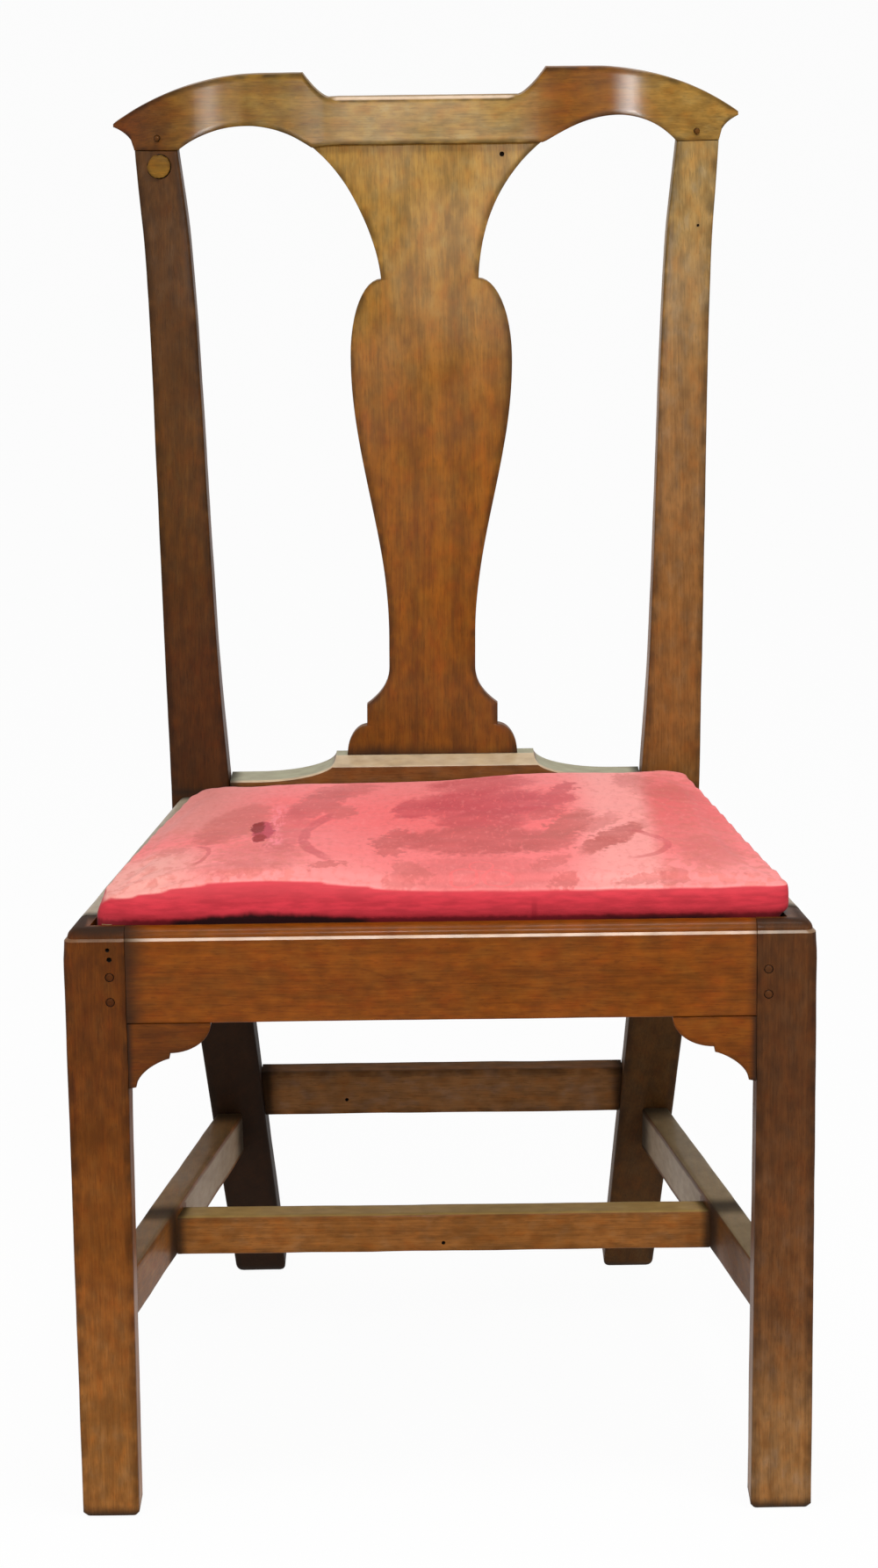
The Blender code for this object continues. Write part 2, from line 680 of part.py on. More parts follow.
def front_corner_block(side):
    """Fills the corner behind a front leg, against both rails and the leg."""
    inner = FRONT_WIDTH / 2 - LEG - CLEARANCE
    back = LEG + CLEARANCE
    far = back + BLOCK_LEG
    plan = [(inner - BLOCK_LEG, FRONT_RAIL_THICKNESS + CLEARANCE), (inner, FRONT_RAIL_THICKNESS + CLEARANCE),
            (inner, back), (rail_inner(back) - CLEARANCE, back), (rail_inner(far) - CLEARANCE, far),
            (rail_inner(far) - CLEARANCE - BLOCK_DROP, far)]
    return prism("front_corner_block", [(side * x, depth) for x, depth in plan],
                 RAIL_BOTTOM + TENON_SHOULDER, LEDGE - BLOCK_DROP)


def rear_corner_block(side):
    """Fills the corner in front of a rear post, its top level with the ledge to carry the seat."""
    back = SEAT_DEPTH - CLEARANCE
    near = back - BLOCK_LEG
    inner = rail_inner(back) - BLOCK_LEG
    plan = [(rail_inner(near) - CLEARANCE, near), (rail_inner(back) - CLEARANCE, back), (inner, back),
            (inner, back - BLOCK_DROP), (rail_inner(near) - CLEARANCE - BLOCK_DROP, near)]
    return prism("rear_corner_block", [(side * x, depth) for x, depth in plan],
                 RAIL_BOTTOM + TENON_SHOULDER, LEDGE)


# Drop-in seat pieces

def rounded(corners, radius, arc_steps, edge_steps):
    """A closed outline through corners, each rounded by an arc, with its edges divided evenly."""
    arcs = []
    for i, corner in enumerate(corners):
        before = (corners[i - 1] - corner).normalized()
        after = (corners[(i + 1) % len(corners)] - corner).normalized()
        half_angle = before.angle(after) / 2
        centre = corner + (before + after).normalized() * radius / math.sin(half_angle)
        reach = radius / math.tan(half_angle)
        first = (corner + before * reach - centre).normalized()
        last = (corner + after * reach - centre).normalized()
        arcs.append([centre + first.slerp(last, t) * radius for t in steps(0, 1, arc_steps)])
    outline = []
    for arc, following in zip(arcs, arcs[1:] + arcs[:1]):
        outline += arc
        outline += [arc[-1].lerp(following[0], t) for t in steps(0, 1, edge_steps)[1:-1]]
    return [tuple(point) for point in outline]


def seat_outline(inset):
    """Round-cornered outline of the drop-in seat, always with the same number of points."""
    front = SEAT_FRONT + inset
    back = SEAT_BACK - inset
    corners = [Vector((side * (seat_half(depth) - inset), depth))
               for side, depth in ((-1, front), (1, front), (1, back), (-1, back))]
    return rounded(corners, SEAT_CORNER, 3, 8)


def seat_top(depth):
    """Height of the seat's top along its edge."""
    back = (depth - SEAT_FRONT) / (SEAT_BACK - SEAT_FRONT)
    return RAIL_TOP + mix(FRONT_EDGE_RISE, BACK_EDGE_RISE, back)


def seat_crown(x, depth):
    """How far the stuffing swells above the line of the seat's edges."""
    across = x / seat_half(depth)
    along = (2 * depth - SEAT_FRONT - SEAT_BACK) / (SEAT_BACK - SEAT_FRONT)
    return CROWN * (1 - across ** 2) * (1 - along ** 2)


def crowned_rings(inset, drop):
    """Rings over the crowned top, from the side walls to near the middle, set in and lowered."""
    rings = []
    for angle in steps(0, math.pi / 2, 3):
        ring = seat_outline(inset + EDGE_ROUND * (1 - math.cos(angle)))
        rings.append([(x, d, seat_top(d) - drop - EDGE_ROUND * (1 - math.sin(angle))) for x, d in ring])
    edge = rings[-1]
    centre_depth = (SEAT_FRONT + SEAT_BACK) / 2
    for t in CROWN_RINGS:
        ring = [(mix(x, 0.0, t), mix(d, centre_depth, t)) for x, d, _ in edge]
        rings.append([(x, d, seat_top(d) - drop + seat_crown(x, d)) for x, d in ring])
    return rings


def seat_cover():
    """The covering: over the top, down the sides and turned under the seat frame."""
    low = HEM_BOTTOM
    high = HEM_BOTTOM + COVER_THICKNESS
    outside = [[(x, d, low) for x, d in seat_outline(0.0)]] + crowned_rings(0.0, 0.0)
    inside = [[(x, d, high) for x, d in seat_outline(COVER_THICKNESS)]]
    inside += crowned_rings(COVER_THICKNESS, COVER_THICKNESS)
    hem_low = [(x, d, low) for x, d in seat_outline(HEM_WIDTH)]
    hem_high = [(x, d, high) for x, d in seat_outline(HEM_WIDTH)]
    return loft("seat_cover", outside[::-1] + [hem_low, hem_high] + inside)


def seat_stuffing():
    skin = COVER_THICKNESS + CLEARANCE
    foot = [(x, d, STUFFING_BOTTOM) for x, d in seat_outline(skin)]
    return loft("seat_stuffing", [foot] + crowned_rings(skin, skin))


def seat_frame_piece(name, front, back):
    """A crosswise piece of the seat frame between two depths, rounded at its outer corners."""
    skin = COVER_THICKNESS + CLEARANCE
    plan = []
    for depth, side in ((front, -1), (front, 1), (back, 1), (back, -1)):
        plan.append((side * seat_half(depth), depth))
    piece = prism(name, plan, SEAT_FRAME_BOTTOM, SEAT_FRAME_TOP)
    inside = prism("inside", seat_outline(skin), SEAT_FRAME_BOTTOM - skin, SEAT_FRAME_TOP + skin)
    combine(piece, [inside], "INTERSECT")
    return piece


def seat_frame():
    """Four pieces, the sides tenoned between the front and the back."""
    skin = COVER_THICKNESS + CLEARANCE
    front = SEAT_FRONT + SEAT_FRAME_WIDTH
    back = SEAT_BACK - SEAT_FRAME_WIDTH
    pieces = {"seat_frame_front": seat_frame_piece("seat_frame_front", SEAT_FRONT, front),
              "seat_frame_back": seat_frame_piece("seat_frame_back", back, SEAT_BACK)}
    middle = (SEAT_FRAME_BOTTOM + SEAT_FRAME_TOP) / 2
    size = (SEAT_TENON_WIDTH, SEAT_TENON_THICKNESS)
    for word, side in SIDES.items():
        corners = [(front, skin), (back, skin), (back, SEAT_FRAME_WIDTH), (front, SEAT_FRAME_WIDTH)]
        plan = []
        for depth, width in corners:
            gap = CLEARANCE if depth == front else -CLEARANCE
            plan.append((side * (seat_half(depth) - width), depth + gap))
        name = "seat_frame_" + word
        pieces[name] = prism(name, plan, SEAT_FRAME_BOTTOM, SEAT_FRAME_TOP)
        for face, towards, neighbour in ((front, -1, "seat_frame_front"), (back, 1, "seat_frame_back")):
            line = [(side * (seat_half(d) - SEAT_FRAME_WIDTH / 2), d, middle)
                    for d in (face - towards * ROOT, face + towards * SEAT_TENON_LENGTH)]
            tenon(pieces[name], pieces[neighbour], line[0], line[1], size, 1)
    return pieces


def web_places():
    """Middle lines of the straps: half-positions across the seat, and depths."""
    front = SEAT_FRONT + SEAT_FRAME_WIDTH
    back = SEAT_BACK - SEAT_FRAME_WIDTH
    reach = seat_half(back) - SEAT_FRAME_WIDTH
    across = [mix(-reach, reach, (i + 0.5) / WEB_COUNT) for i in range(WEB_COUNT)]
    depths = [mix(front, back, (i + 0.5) / WEB_COUNT) for i in range(WEB_COUNT)]
    return across, depths


def strap(name, start, end, crossings, lengthwise, at):
    """A strap that weaves over and under those that it crosses."""
    half = WEB_WIDTH / 2
    stations = [(start, WEB_LOW)]
    for place, over in crossings:
        level = WEB_HIGH if over else WEB_LOW
        stations += [(place - half - WEB_END / 2, level), (place + half + WEB_END / 2, level)]
    stations.append((end, WEB_LOW))
    sections = []
    for place, z in stations:
        section = []
        for shift, rise in ((-half, 0), (half, 0), (half, WEB_THICKNESS), (-half, WEB_THICKNESS)):
            x, depth = (at + shift, place) if lengthwise else (place, at + shift)
            section.append((x, depth, z + rise))
        sections.append(section)
    return loft(name, sections)


def webbing():
    """Straps both ways over the seat frame."""
    across, depths = web_places()
    skin = COVER_THICKNESS + CLEARANCE
    straps = []
    ends = (SEAT_FRONT + skin + WEB_END, SEAT_BACK - skin - WEB_END)
    for i, x in enumerate(across):
        crossings = [(depth, (i + j) % 2 == 0) for j, depth in enumerate(depths)]
        straps.append(strap("web_lengthwise_%d" % (i + 1), ends[0], ends[1], crossings, True, x))
    for j, depth in enumerate(depths):
        reach = seat_half(depth + WEB_WIDTH / 2) - skin - WEB_END
        crossings = [(x, (i + j) % 2 == 1) for i, x in enumerate(across)]
        straps.append(strap("web_crosswise_%d" % (j + 1), -reach, reach, crossings, False, depth))
    return straps


def base_cloth():
    outline = seat_outline(COVER_THICKNESS + CLEARANCE + CLOTH_INSET)
    return prism("base_cloth", outline, CLOTH_BOTTOM, CLOTH_BOTTOM + CLOTH_THICKNESS)


# Joints

def join_seat_frame(pieces):
    """Tenons of the seat rails in the legs and posts."""
    middle = (TENON_LOW + TENON_HIGH) / 2
    height = TENON_HIGH - TENON_LOW
    for word, side in SIDES.items():
        leg = pieces["front_leg_" + word]
        post = pieces["rear_post_" + word]
        rail = pieces["side_seat_rail_" + word]
        face = FRONT_WIDTH / 2 - LEG
        tenon(pieces["front_seat_rail"], leg, (side * (face - ROOT), FRONT_TENON_DEPTH, middle),
              (side * (face + RAIL_TENON_LENGTH), FRONT_TENON_DEPTH, middle),
              (RAIL_TENON_THICKNESS, height), 0)
        for root, tip in ((LEG + ROOT, LEG - RAIL_TENON_LENGTH),
                          (SEAT_DEPTH - ROOT, SEAT_DEPTH + RAIL_TENON_LENGTH)):
            line = [(side * (rail_outer(d) - SIDE_RAIL_THICKNESS / 2), d, middle) for d in (root, tip)]
            tenon(rail, leg if tip < root else post, line[0], line[1], (RAIL_TENON_THICKNESS, height), 1)
        inner = REAR_WIDTH / 2 - POST_WIDTH_SEAT
        depth = SEAT_DEPTH + REAR_RAIL_THICKNESS / 2
        tenon(pieces["rear_seat_rail"], post, (side * (inner - ROOT), depth, middle),
              (side * (inner + RAIL_TENON_LENGTH), depth, middle), (RAIL_TENON_THICKNESS, height), 0)


def join_back(pieces):
    """Tenons of the posts in the crest, and of the splat in the crest and the shoe."""
    crest = pieces["crest_rail"]
    for word, side in SIDES.items():
        x = side * (TOP_SPREAD - POST_WIDTH_TOP) / 2
        depth = post_front(CREST_JOINT) + POST_THICKNESS_TOP / 2
        tenon(pieces["rear_post_" + word], crest, (x, depth, CREST_JOINT - ROOT),
              (x, depth, CREST_JOINT + POST_TENON_HEIGHT), (POST_TENON_WIDTH, POST_TENON_THICKNESS), 2)
    for z, tip, neighbour, half in ((CREST_JOINT, SPLAT_TENON, "crest_rail", SPLAT_TOP_HALF),
                                    (SHOE_TOP, -SPLAT_TENON, "shoe", BASE_HALF)):
        depth = post_front(z) + SPLAT_SETBACK + SPLAT_THICKNESS / 2
        root = z - math.copysign(ROOT, tip)
        ends = [(0.0, depth + back_lean(level) - back_lean(z), level) for level in (root, z + tip)]
        tenon(pieces["splat"], pieces[neighbour], ends[0], ends[1],
              (2 * half - 2 * SPLAT_TENON_INSET, SPLAT_TONGUE), 2)


def join_stretchers(pieces):
    """Tenons of the stretchers in the legs, posts and side stretchers."""
    low = STRETCHER_BOTTOM
    middle = low + SIDE_STRETCHER_HEIGHT / 2
    size = (STRETCHER_TENON_THICKNESS, SIDE_STRETCHER_HEIGHT - 2 * STRETCHER_SHOULDER)
    medial = low + MEDIAL_HEIGHT / 2
    medial_depth = MEDIAL_DEPTH + MEDIAL_THICKNESS / 2
    rear = REAR_STRETCHER_BOTTOM + REAR_STRETCHER_HEIGHT / 2
    rear_depth = post_front(rear) + REAR_STRETCHER_INSET + REAR_STRETCHER_THICKNESS / 2
    for word, side in SIDES.items():
        stretcher = pieces["side_stretcher_" + word]
        post = pieces["rear_post_" + word]
        back = post_front(middle)
        for root, tip, neighbour in ((LEG + ROOT, LEG - STRETCHER_TENON_LENGTH, "front_leg_"),
                                     (back - 2 * ROOT, back + STRETCHER_TENON_LENGTH, "rear_post_")):
            line = [(side * side_stretcher_x(d), d, middle) for d in (root, tip)]
            tenon(stretcher, pieces[neighbour + word], line[0], line[1], size, 1)
        face = side_stretcher_x(medial_depth) - SIDE_STRETCHER_THICKNESS / 2
        tenon(pieces["medial_stretcher"], stretcher, (side * (face - 2 * ROOT), medial_depth, medial),
              (side * (face + SIDE_STRETCHER_THICKNESS / 2), medial_depth, medial),
              (STRETCHER_TENON_THICKNESS, MEDIAL_HEIGHT - 2 * STRETCHER_SHOULDER), 0)
        face = post_inner(rear)
        tenon(pieces["rear_stretcher"], post, (side * (face - 2 * ROOT), rear_depth, rear),
              (side * (face + STRETCHER_TENON_LENGTH), rear_depth, rear),
              (STRETCHER_TENON_THICKNESS, REAR_STRETCHER_HEIGHT - 2 * STRETCHER_SHOULDER), 0)


def rail_pegs(side, z):
    """Heads and tips of the pegs through the seat rails' tenons at one corner pair and one height."""
    x = side * (FRONT_WIDTH / 2 - LEG + RAIL_TENON_LENGTH / 2)
    pegs = {"front_rail_peg": ((x, 0.0, z), (x, PEG_LENGTH, z))}
    in_leg = LEG - RAIL_TENON_LENGTH / 2
    in_post = SEAT_DEPTH + RAIL_TENON_LENGTH / 2
    for start, depth, outer in (("side_rail_front_peg", in_leg, rail_outer(in_leg)),
                                ("side_rail_rear_peg", in_post, REAR_WIDTH / 2)):
        pegs[start] = ((side * outer, depth, z), (side * (outer - PEG_LENGTH), depth, z))
    return pegs


def add_pegs(pieces):
    """Pegs through the tenons of the seat rails and of the posts, each in its own bored hole."""
    middle = (TENON_LOW + TENON_HIGH) / 2
    for word, side in SIDES.items():
        leg = pieces["front_leg_" + word]
        post = pieces["rear_post_" + word]
        rail = pieces["side_seat_rail_" + word]
        holds = {"front_rail_peg": [leg, pieces["front_seat_rail"]],
                 "side_rail_front_peg": [leg, rail], "side_rail_rear_peg": [post, rail]}
        for level, turn in (("upper", 1), ("lower", -1)):
            for start, (head, tip) in rail_pegs(side, middle + turn * PEG_SPACING / 2).items():
                name = "%s_%s_%s" % (start, word, level)
                pieces[name] = pinned(name, head, tip, PEG_DIAMETER, PEG_SIDES, holds[start])
        z = CREST_JOINT + CREST_PEG_RISE
        x = side * (TOP_SPREAD - POST_WIDTH_TOP) / 2
        name = "crest_peg_" + word
        pieces[name] = pinned(name, (x, post_front(z), z), (x, post_front(z) + CREST_PEG_LENGTH, z),
                              CREST_PEG_DIAMETER, PEG_SIDES, [pieces["crest_rail"], post])


def add_plug(pieces):
    """The round plug let into the front of the left post under the crest."""
    z = CREST_JOINT - PLUG_DROP
    x = -(post_outer(z) + post_inner(z)) / 2
    front = post_front(z)
    pieces["post_plug"] = pinned("post_plug", (x, front, z), (x, front + PLUG_DEPTH, z),
                                 PLUG_DIAMETER, PLUG_SIDES, [pieces["rear_post_left"]])


# Assembly

def frame_pieces():
    pieces = {"front_seat_rail": front_seat_rail(), "rear_seat_rail": rear_seat_rail(),
              "crest_rail": crest_rail(), "splat": splat(), "shoe": shoe(),
              "medial_stretcher": medial_stretcher(), "rear_stretcher": rear_stretcher()}
    for word, side in SIDES.items():
        pieces["front_leg_" + word] = front_leg(side)
        pieces["rear_post_" + word] = rear_post(side)
        pieces["side_seat_rail_" + word] = side_seat_rail(side)
        pieces["side_stretcher_" + word] = side_stretcher(side)
        pieces["front_bracket_" + word] = front_bracket(side)
        pieces["front_corner_block_" + word] = front_corner_block(side)
        pieces["rear_corner_block_" + word] = rear_corner_block(side)
    join_seat_frame(pieces)
    join_back(pieces)
    join_stretchers(pieces)
    add_pegs(pieces)
    add_plug(pieces)
    return pieces


def seat_pieces():
    pieces = seat_frame()
    pieces["seat_cover"] = seat_cover()
    pieces["base_cloth"] = base_cloth()
    pieces["seat_stuffing"] = seat_stuffing()
    for piece in webbing():
        pieces[piece.name] = piece
    return pieces


FINISHES = {
    "leg_wood": ((0.115, 0.042, 0.014), 0.34, 0.0),
    "post_wood": ((0.125, 0.055, 0.020), 0.36, 0.0),
    "splat_wood": ((0.270, 0.120, 0.032), 0.32, 0.0),
    "rail_wood": ((0.190, 0.070, 0.015), 0.34, 0.0),
    "stretcher_wood": ((0.120, 0.055, 0.022), 0.45, 0.0),
    "inner_wood": ((0.260, 0.170, 0.090), 0.70, 0.0),
    "plug_wood": ((0.300, 0.170, 0.060), 0.45, 0.0),
    "damask": ((0.720, 0.150, 0.180), 0.65, 0.0),
    "linen": ((0.520, 0.420, 0.280), 0.90, 0.0),
    "hair": ((0.110, 0.080, 0.060), 0.95, 0.0),
}

# The first start of a piece's name that fits gives its finish
FINISH_OF = (
    ("post_plug", "plug_wood"), ("front_corner", "inner_wood"), ("rear_corner", "inner_wood"),
    ("seat_frame", "inner_wood"), ("seat_cover", "damask"), ("seat_stuffing", "hair"),
    ("web_", "linen"), ("base_cloth", "linen"), ("front_leg", "leg_wood"), ("rear_post", "post_wood"),
    ("crest", "post_wood"), ("splat", "splat_wood"), ("shoe", "splat_wood"), ("front_", "rail_wood"),
    ("side_seat", "rail_wood"), ("rear_seat", "rail_wood"), ("side_rail", "rail_wood"),
    ("", "stretcher_wood"))


def finish(piece):
    """Give a piece the finish that its name calls for, as its own material."""
    key = next(finish for start, finish in FINISH_OF if piece.name.startswith(start))
    colour, roughness, metallic = FINISHES[key]
    material = bpy.data.materials.new(piece.name + "_" + key)
    material.use_nodes = True
    shader = material.node_tree.nodes["Principled BSDF"]
    shader.inputs["Base Color"].default_value = (*colour, 1.0)
    shader.inputs["Roughness"].default_value = roughness
    shader.inputs["Metallic"].default_value = metallic
    piece.data.materials.clear()
    piece.data.materials.append(material)


def settle(piece, name, parent):
    """Name a piece, put its origin at its middle and hang it from its parent."""
    piece.name = name
    piece.data.name = name
    corners = [Vector(vertex.co) for vertex in piece.data.vertices]
    low = Vector([min(corner[i] for corner in corners) for i in range(3)])
    high = Vector([max(corner[i] for corner in corners) for i in range(3)])
    middle = (low + high) / 2
    piece.data.transform(Matrix.Translation(-middle))
    piece.parent = parent
    piece.location = middle - parent.location
    piece.data.shade_smooth()
    piece.data.set_sharp_from_angle(angle=math.radians(30))
    finish(piece)


def empty(name, location):
    holder = bpy.data.objects.new(name, None)
    holder.location = location
    bpy.context.scene.collection.objects.link(holder)
    return holder


def main():
    for old in list(bpy.data.objects):
        bpy.data.objects.remove(old)
    chair = empty("chair", (0.0, 0.0, 0.0))
    seat_middle = (SEAT_FRONT + SEAT_BACK) / 2 - OVERALL_DEPTH / 2
    drop_in_seat = empty("drop_in_seat", (0.0, seat_middle, LEDGE))
    for name, piece in frame_pieces().items():
        settle(piece, name, chair)
    for name, piece in seat_pieces().items():
        settle(piece, name, drop_in_seat)


main()
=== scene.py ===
"""Dresses the fiddleback side chair: worn waxed wood, a damask drop-in seat and a white studio.

Laid out as an add-on, with one operator for each kind of piece. Metres, +Z up, front towards -Y.
Depth is measured back from the front faces of the front legs, and left is -X.
"""
import math
import random

import bmesh
import bpy
from mathutils import Matrix, Vector, noise


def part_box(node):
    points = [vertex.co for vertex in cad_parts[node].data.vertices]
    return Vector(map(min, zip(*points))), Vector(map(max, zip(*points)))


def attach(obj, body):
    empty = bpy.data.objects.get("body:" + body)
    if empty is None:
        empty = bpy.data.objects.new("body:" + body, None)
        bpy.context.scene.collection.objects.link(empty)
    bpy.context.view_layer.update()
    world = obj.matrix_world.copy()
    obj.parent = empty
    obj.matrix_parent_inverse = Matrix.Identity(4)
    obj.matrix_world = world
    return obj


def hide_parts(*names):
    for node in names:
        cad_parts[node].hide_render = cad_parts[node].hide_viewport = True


bl_info = {
    "name": "Fiddleback side chair",
    "version": (1, 0, 0),
    "blender": (4, 5, 0),
    "location": "View3D > Sidebar > Chair",
    "description": "Worn walnut chair with a solid vase splat and a damask drop-in seat",
    "category": "Object",
}

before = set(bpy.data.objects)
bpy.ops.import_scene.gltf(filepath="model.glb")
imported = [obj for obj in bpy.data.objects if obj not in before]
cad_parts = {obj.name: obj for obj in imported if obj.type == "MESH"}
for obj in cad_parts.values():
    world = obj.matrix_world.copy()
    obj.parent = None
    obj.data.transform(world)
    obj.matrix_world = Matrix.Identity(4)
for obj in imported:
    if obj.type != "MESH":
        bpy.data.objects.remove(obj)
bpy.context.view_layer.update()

def node_levels(node):
    """Heights of a solid's underside and top."""
    return [corner.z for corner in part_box(node)]


def node_depths(node):
    """Depths of a solid's front and back."""
    return [corner.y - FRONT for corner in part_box(node)]


# Places that the frame gives
GAP = 0.0003
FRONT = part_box("front_leg_left")[0].y
HALF_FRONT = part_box("front_leg_right")[1].x
RAIL_BOTTOM, RAIL_TOP = node_levels("front_seat_rail")
LEDGE = node_levels("rear_seat_rail")[1]
SEAT_DEPTH, REAR_RAIL_BACK = node_depths("rear_seat_rail")
CREST_JOINT = node_levels("crest_rail")[0] - GAP
SHOE_TOP = node_levels("shoe")[1]
SHOE_LEVEL = SHOE_TOP - 0.003    # this shoe's worn top
SHOE_FRONT, SHOE_BACK = node_depths("shoe")
SEAT_FRONT, SEAT_BACK = node_depths("seat_cover")
HEM_BOTTOM = node_levels("seat_cover")[0]
SEAT_FRAME_TOP = node_levels("seat_frame_front")[1]
STRETCHER_BOTTOM, MEDIAL_TOP = node_levels("medial_stretcher")
MEDIAL_FRONT, MEDIAL_BACK = node_depths("medial_stretcher")
SIDE_STRETCHER_TOP = node_levels("side_stretcher_left")[1]
REAR_STRETCHER_BOTTOM = node_levels("rear_stretcher")[0]
REAR_STRETCHER_TOP = node_levels("rear_stretcher")[1] + 0.002
REAR_STRETCHER_FRONT, REAR_STRETCHER_BACK = node_depths("rear_stretcher")

# Sizes of the joinery, and how far this old chair strays from them
HALF_REAR = 0.207                # over the posts at the seat
LEG = 0.040
LEG_CHAMFER = 0.008
LEG_CHAMFER_TOP = {-1: 0.0135, 1: 0.0008}
# How much wider than square the legs have been left: outside and inside, each at the foot and near the rail
LEG_EXTRA = {-1: (0.0, 0.0, 0.0007, 0.0028), 1: (0.0013, 0.0018, 0.0024, 0.0)}
FRONT_RAIL_THICKNESS = 0.030
SIDE_RAIL_THICKNESS = 0.032
FRONT_LIP = 0.0135
SIDE_LIP = 0.0165
ARRIS = RAIL_TOP - 0.0084        # where the rails' moulding starts
LINE_INSET = 0.0018              # the narrow slope along its foot, which shines
LINE_RISE = 0.0017
LINE_TOP = ARRIS + LINE_RISE
FOOT_BEVEL = 0.0022              # worn edge round a front foot, and its height
FOOT_BEVEL_RISE = 0.003
REAR_FOOT_ROUND = 0.005          # worn edge round a rear foot, and its height
REAR_FOOT_RISE = 0.007
BRACKET_WIDTH = 0.058
BRACKET_HEIGHT = 0.047
BRACKET_THICKNESS = 0.022
BRACKET_STEP = 0.004
BRACKET_BLUNT = 0.005
POST_SPREADS = (0.348, 0.416, 0.422, 0.4414, 0.4536)     # foot, seat, waist, flare, top
POST_WIDTHS = (0.041, 0.0465, 0.0415, 0.0355, 0.0318)
POST_THICKNESS = (0.036, 0.038, 0.026)                   # foot, seat, top
WAIST_HEIGHT = RAIL_TOP + 0.106
FLARE_HEIGHT = CREST_JOINT - 0.084
LEG_RAKE = 0.103
LEG_SWEEP = 1.2
BACK_RAKE = 0.085
BACK_CURVE = 0.3
BACK_LEAN = 0.177                # how far the back leans for each metre up, on average
CREST_RISE = 0.0575
CREST_DIP = 0.0366
STEP_INNER = {-1: 0.0770, 1: 0.072}
STEP_OUTER = {-1: 0.0972, 1: 0.094}
SHOULDER_FLAT = 0.130
SHOULDER_RADIUS = 0.200
EAR_REACH = {-1: 0.0168, 1: 0.0156}
EAR_RADIUS = 0.033
EAR_FLATTEN = {-1: 0.62, 1: 0.66}
ARCH_RISE = {-1: 0.0180, 1: 0.0205}
ARCH_SKEW = {-1: 1.0, 1: 1.2}
POST_FLARE = {-1: 0.0022, 1: 0.0016}  # how far the posts' tops stand further out
POST_TOP_INNER = POST_SPREADS[-1] / 2 - POST_WIDTHS[-1]
POST_TOP_OUTER = {side: POST_SPREADS[-1] / 2 + POST_FLARE[side] for side in (-1, 1)}
CREST_TILT = 0.0024              # how much lower the crest's left end hangs
RIDGE = {-1: 0.182, 1: 0.167}    # half-widths where the crest comes furthest forward
SWAY = 0.002                     # how far the old back has leant to the left
SPLAT_THICKNESS = 0.011
SPLAT_SETBACK = 0.012
SPLAT_TOP_HALF = 0.0905
NOTCH_HALF = 0.0382
NOTCH_HEIGHT = CREST_JOINT - 0.1034
BELLY_HALF = 0.0634
BELLY_HEIGHT = CREST_JOINT - 0.162
NECK_HALF = 0.0339
COVE_TOP = SHOE_TOP + 0.066
WAIST_LENGTH = 0.022
FILLET_HALF = 0.0515
FILLET_LOW = SHOE_TOP + 0.0200
FILLET_HIGH = SHOE_TOP + 0.0360
BASE_HALF = 0.067
SHOE_HALF = 0.0780
SHOE_FALL = 0.016
SHOE_COVE = 0.062
SHOE_CHAMFER = 0.0056
SIDE_STRETCHER_THICKNESS = 0.021
STRETCHER_INSET = 0.001
SEAT_INSET = 0.018               # drop-in seat inside the rails' outer faces
SEAT_CORNER = 0.008
FRONT_EDGE_TOP = RAIL_TOP + 0.023
BACK_EDGE_TOP = RAIL_TOP + 0.0165
HEM_WIDTH = 0.030
OVERHANG = {-1: 0.0004, 1: 0.0065}   # how far the cushion bulges past the rabbet, left and right
# Lumps of the cushion's front and back edges
FRONT_LUMPS = ((-0.245, -0.0045), (-0.225, -0.0025), (-0.19, 0.0040), (-0.16, 0.0085), (-0.125, 0.0100),
               (-0.08, 0.0083), (-0.05, 0.0044), (-0.02, 0.0015), (0.05, 0.0), (0.17, 0.0003),
               (0.245, 0.0022))
BACK_LUMPS = ((-0.21, -0.0060), (-0.10, -0.0046), (0.0, -0.0035), (0.05, 0.0001), (0.10, 0.0018),
              (0.21, 0.0031))
EDGE_REACH = 0.022               # how far in the cushion's bulging edges reach
FRONT_OVERHANG = 0.0025
SIDES = {"left": -1, "right": 1}
SHARP = math.radians(42)


# What a user may change

def length_property(name, description, default, least=0.0):
    return bpy.props.FloatProperty(name=name, description=description, default=default, min=least,
                                   unit="LENGTH")


class ChairSizes(bpy.types.PropertyGroup):
    """Sizes of the wear, the curves and the stuffing."""

    worn_edge: length_property("Worn edge", "Radius of the worn edges of legs and stretchers", 0.0022, 0.0003)
    crisp_edge: length_property("Crisp edge", "Radius of the edges of splat, shoe and joints", 0.0008, 0.0002)
    wobble: length_property("Wobble", "How far the hand-planed faces stray from true", 0.00025)
    crest_thickness: length_property("Crest thickness", "Thickness of the crest rail", 0.026, 0.005)
    crest_hollow: length_property("Crest hollow", "How far the crest's middle lies behind its ridges", 0.007)
    ear_sweep: length_property("Ear sweep", "How far the ears' tips lie behind the ridges", 0.012)
    crown: length_property("Crown", "Height of the stuffing above the edges of the seat", 0.006)
    swell: length_property("Swell", "Furthest that the stuffing pushes out its cover", 0.003)
    voxel: length_property("Cloth mesh", "Size of the faces that the cover is simulated with", 0.004, 0.003)


def colour_property(name, description, colour):
    return bpy.props.FloatVectorProperty(name=name, description=description, default=colour,
                                         size=3, min=0.0, max=1.0, subtype="COLOR")


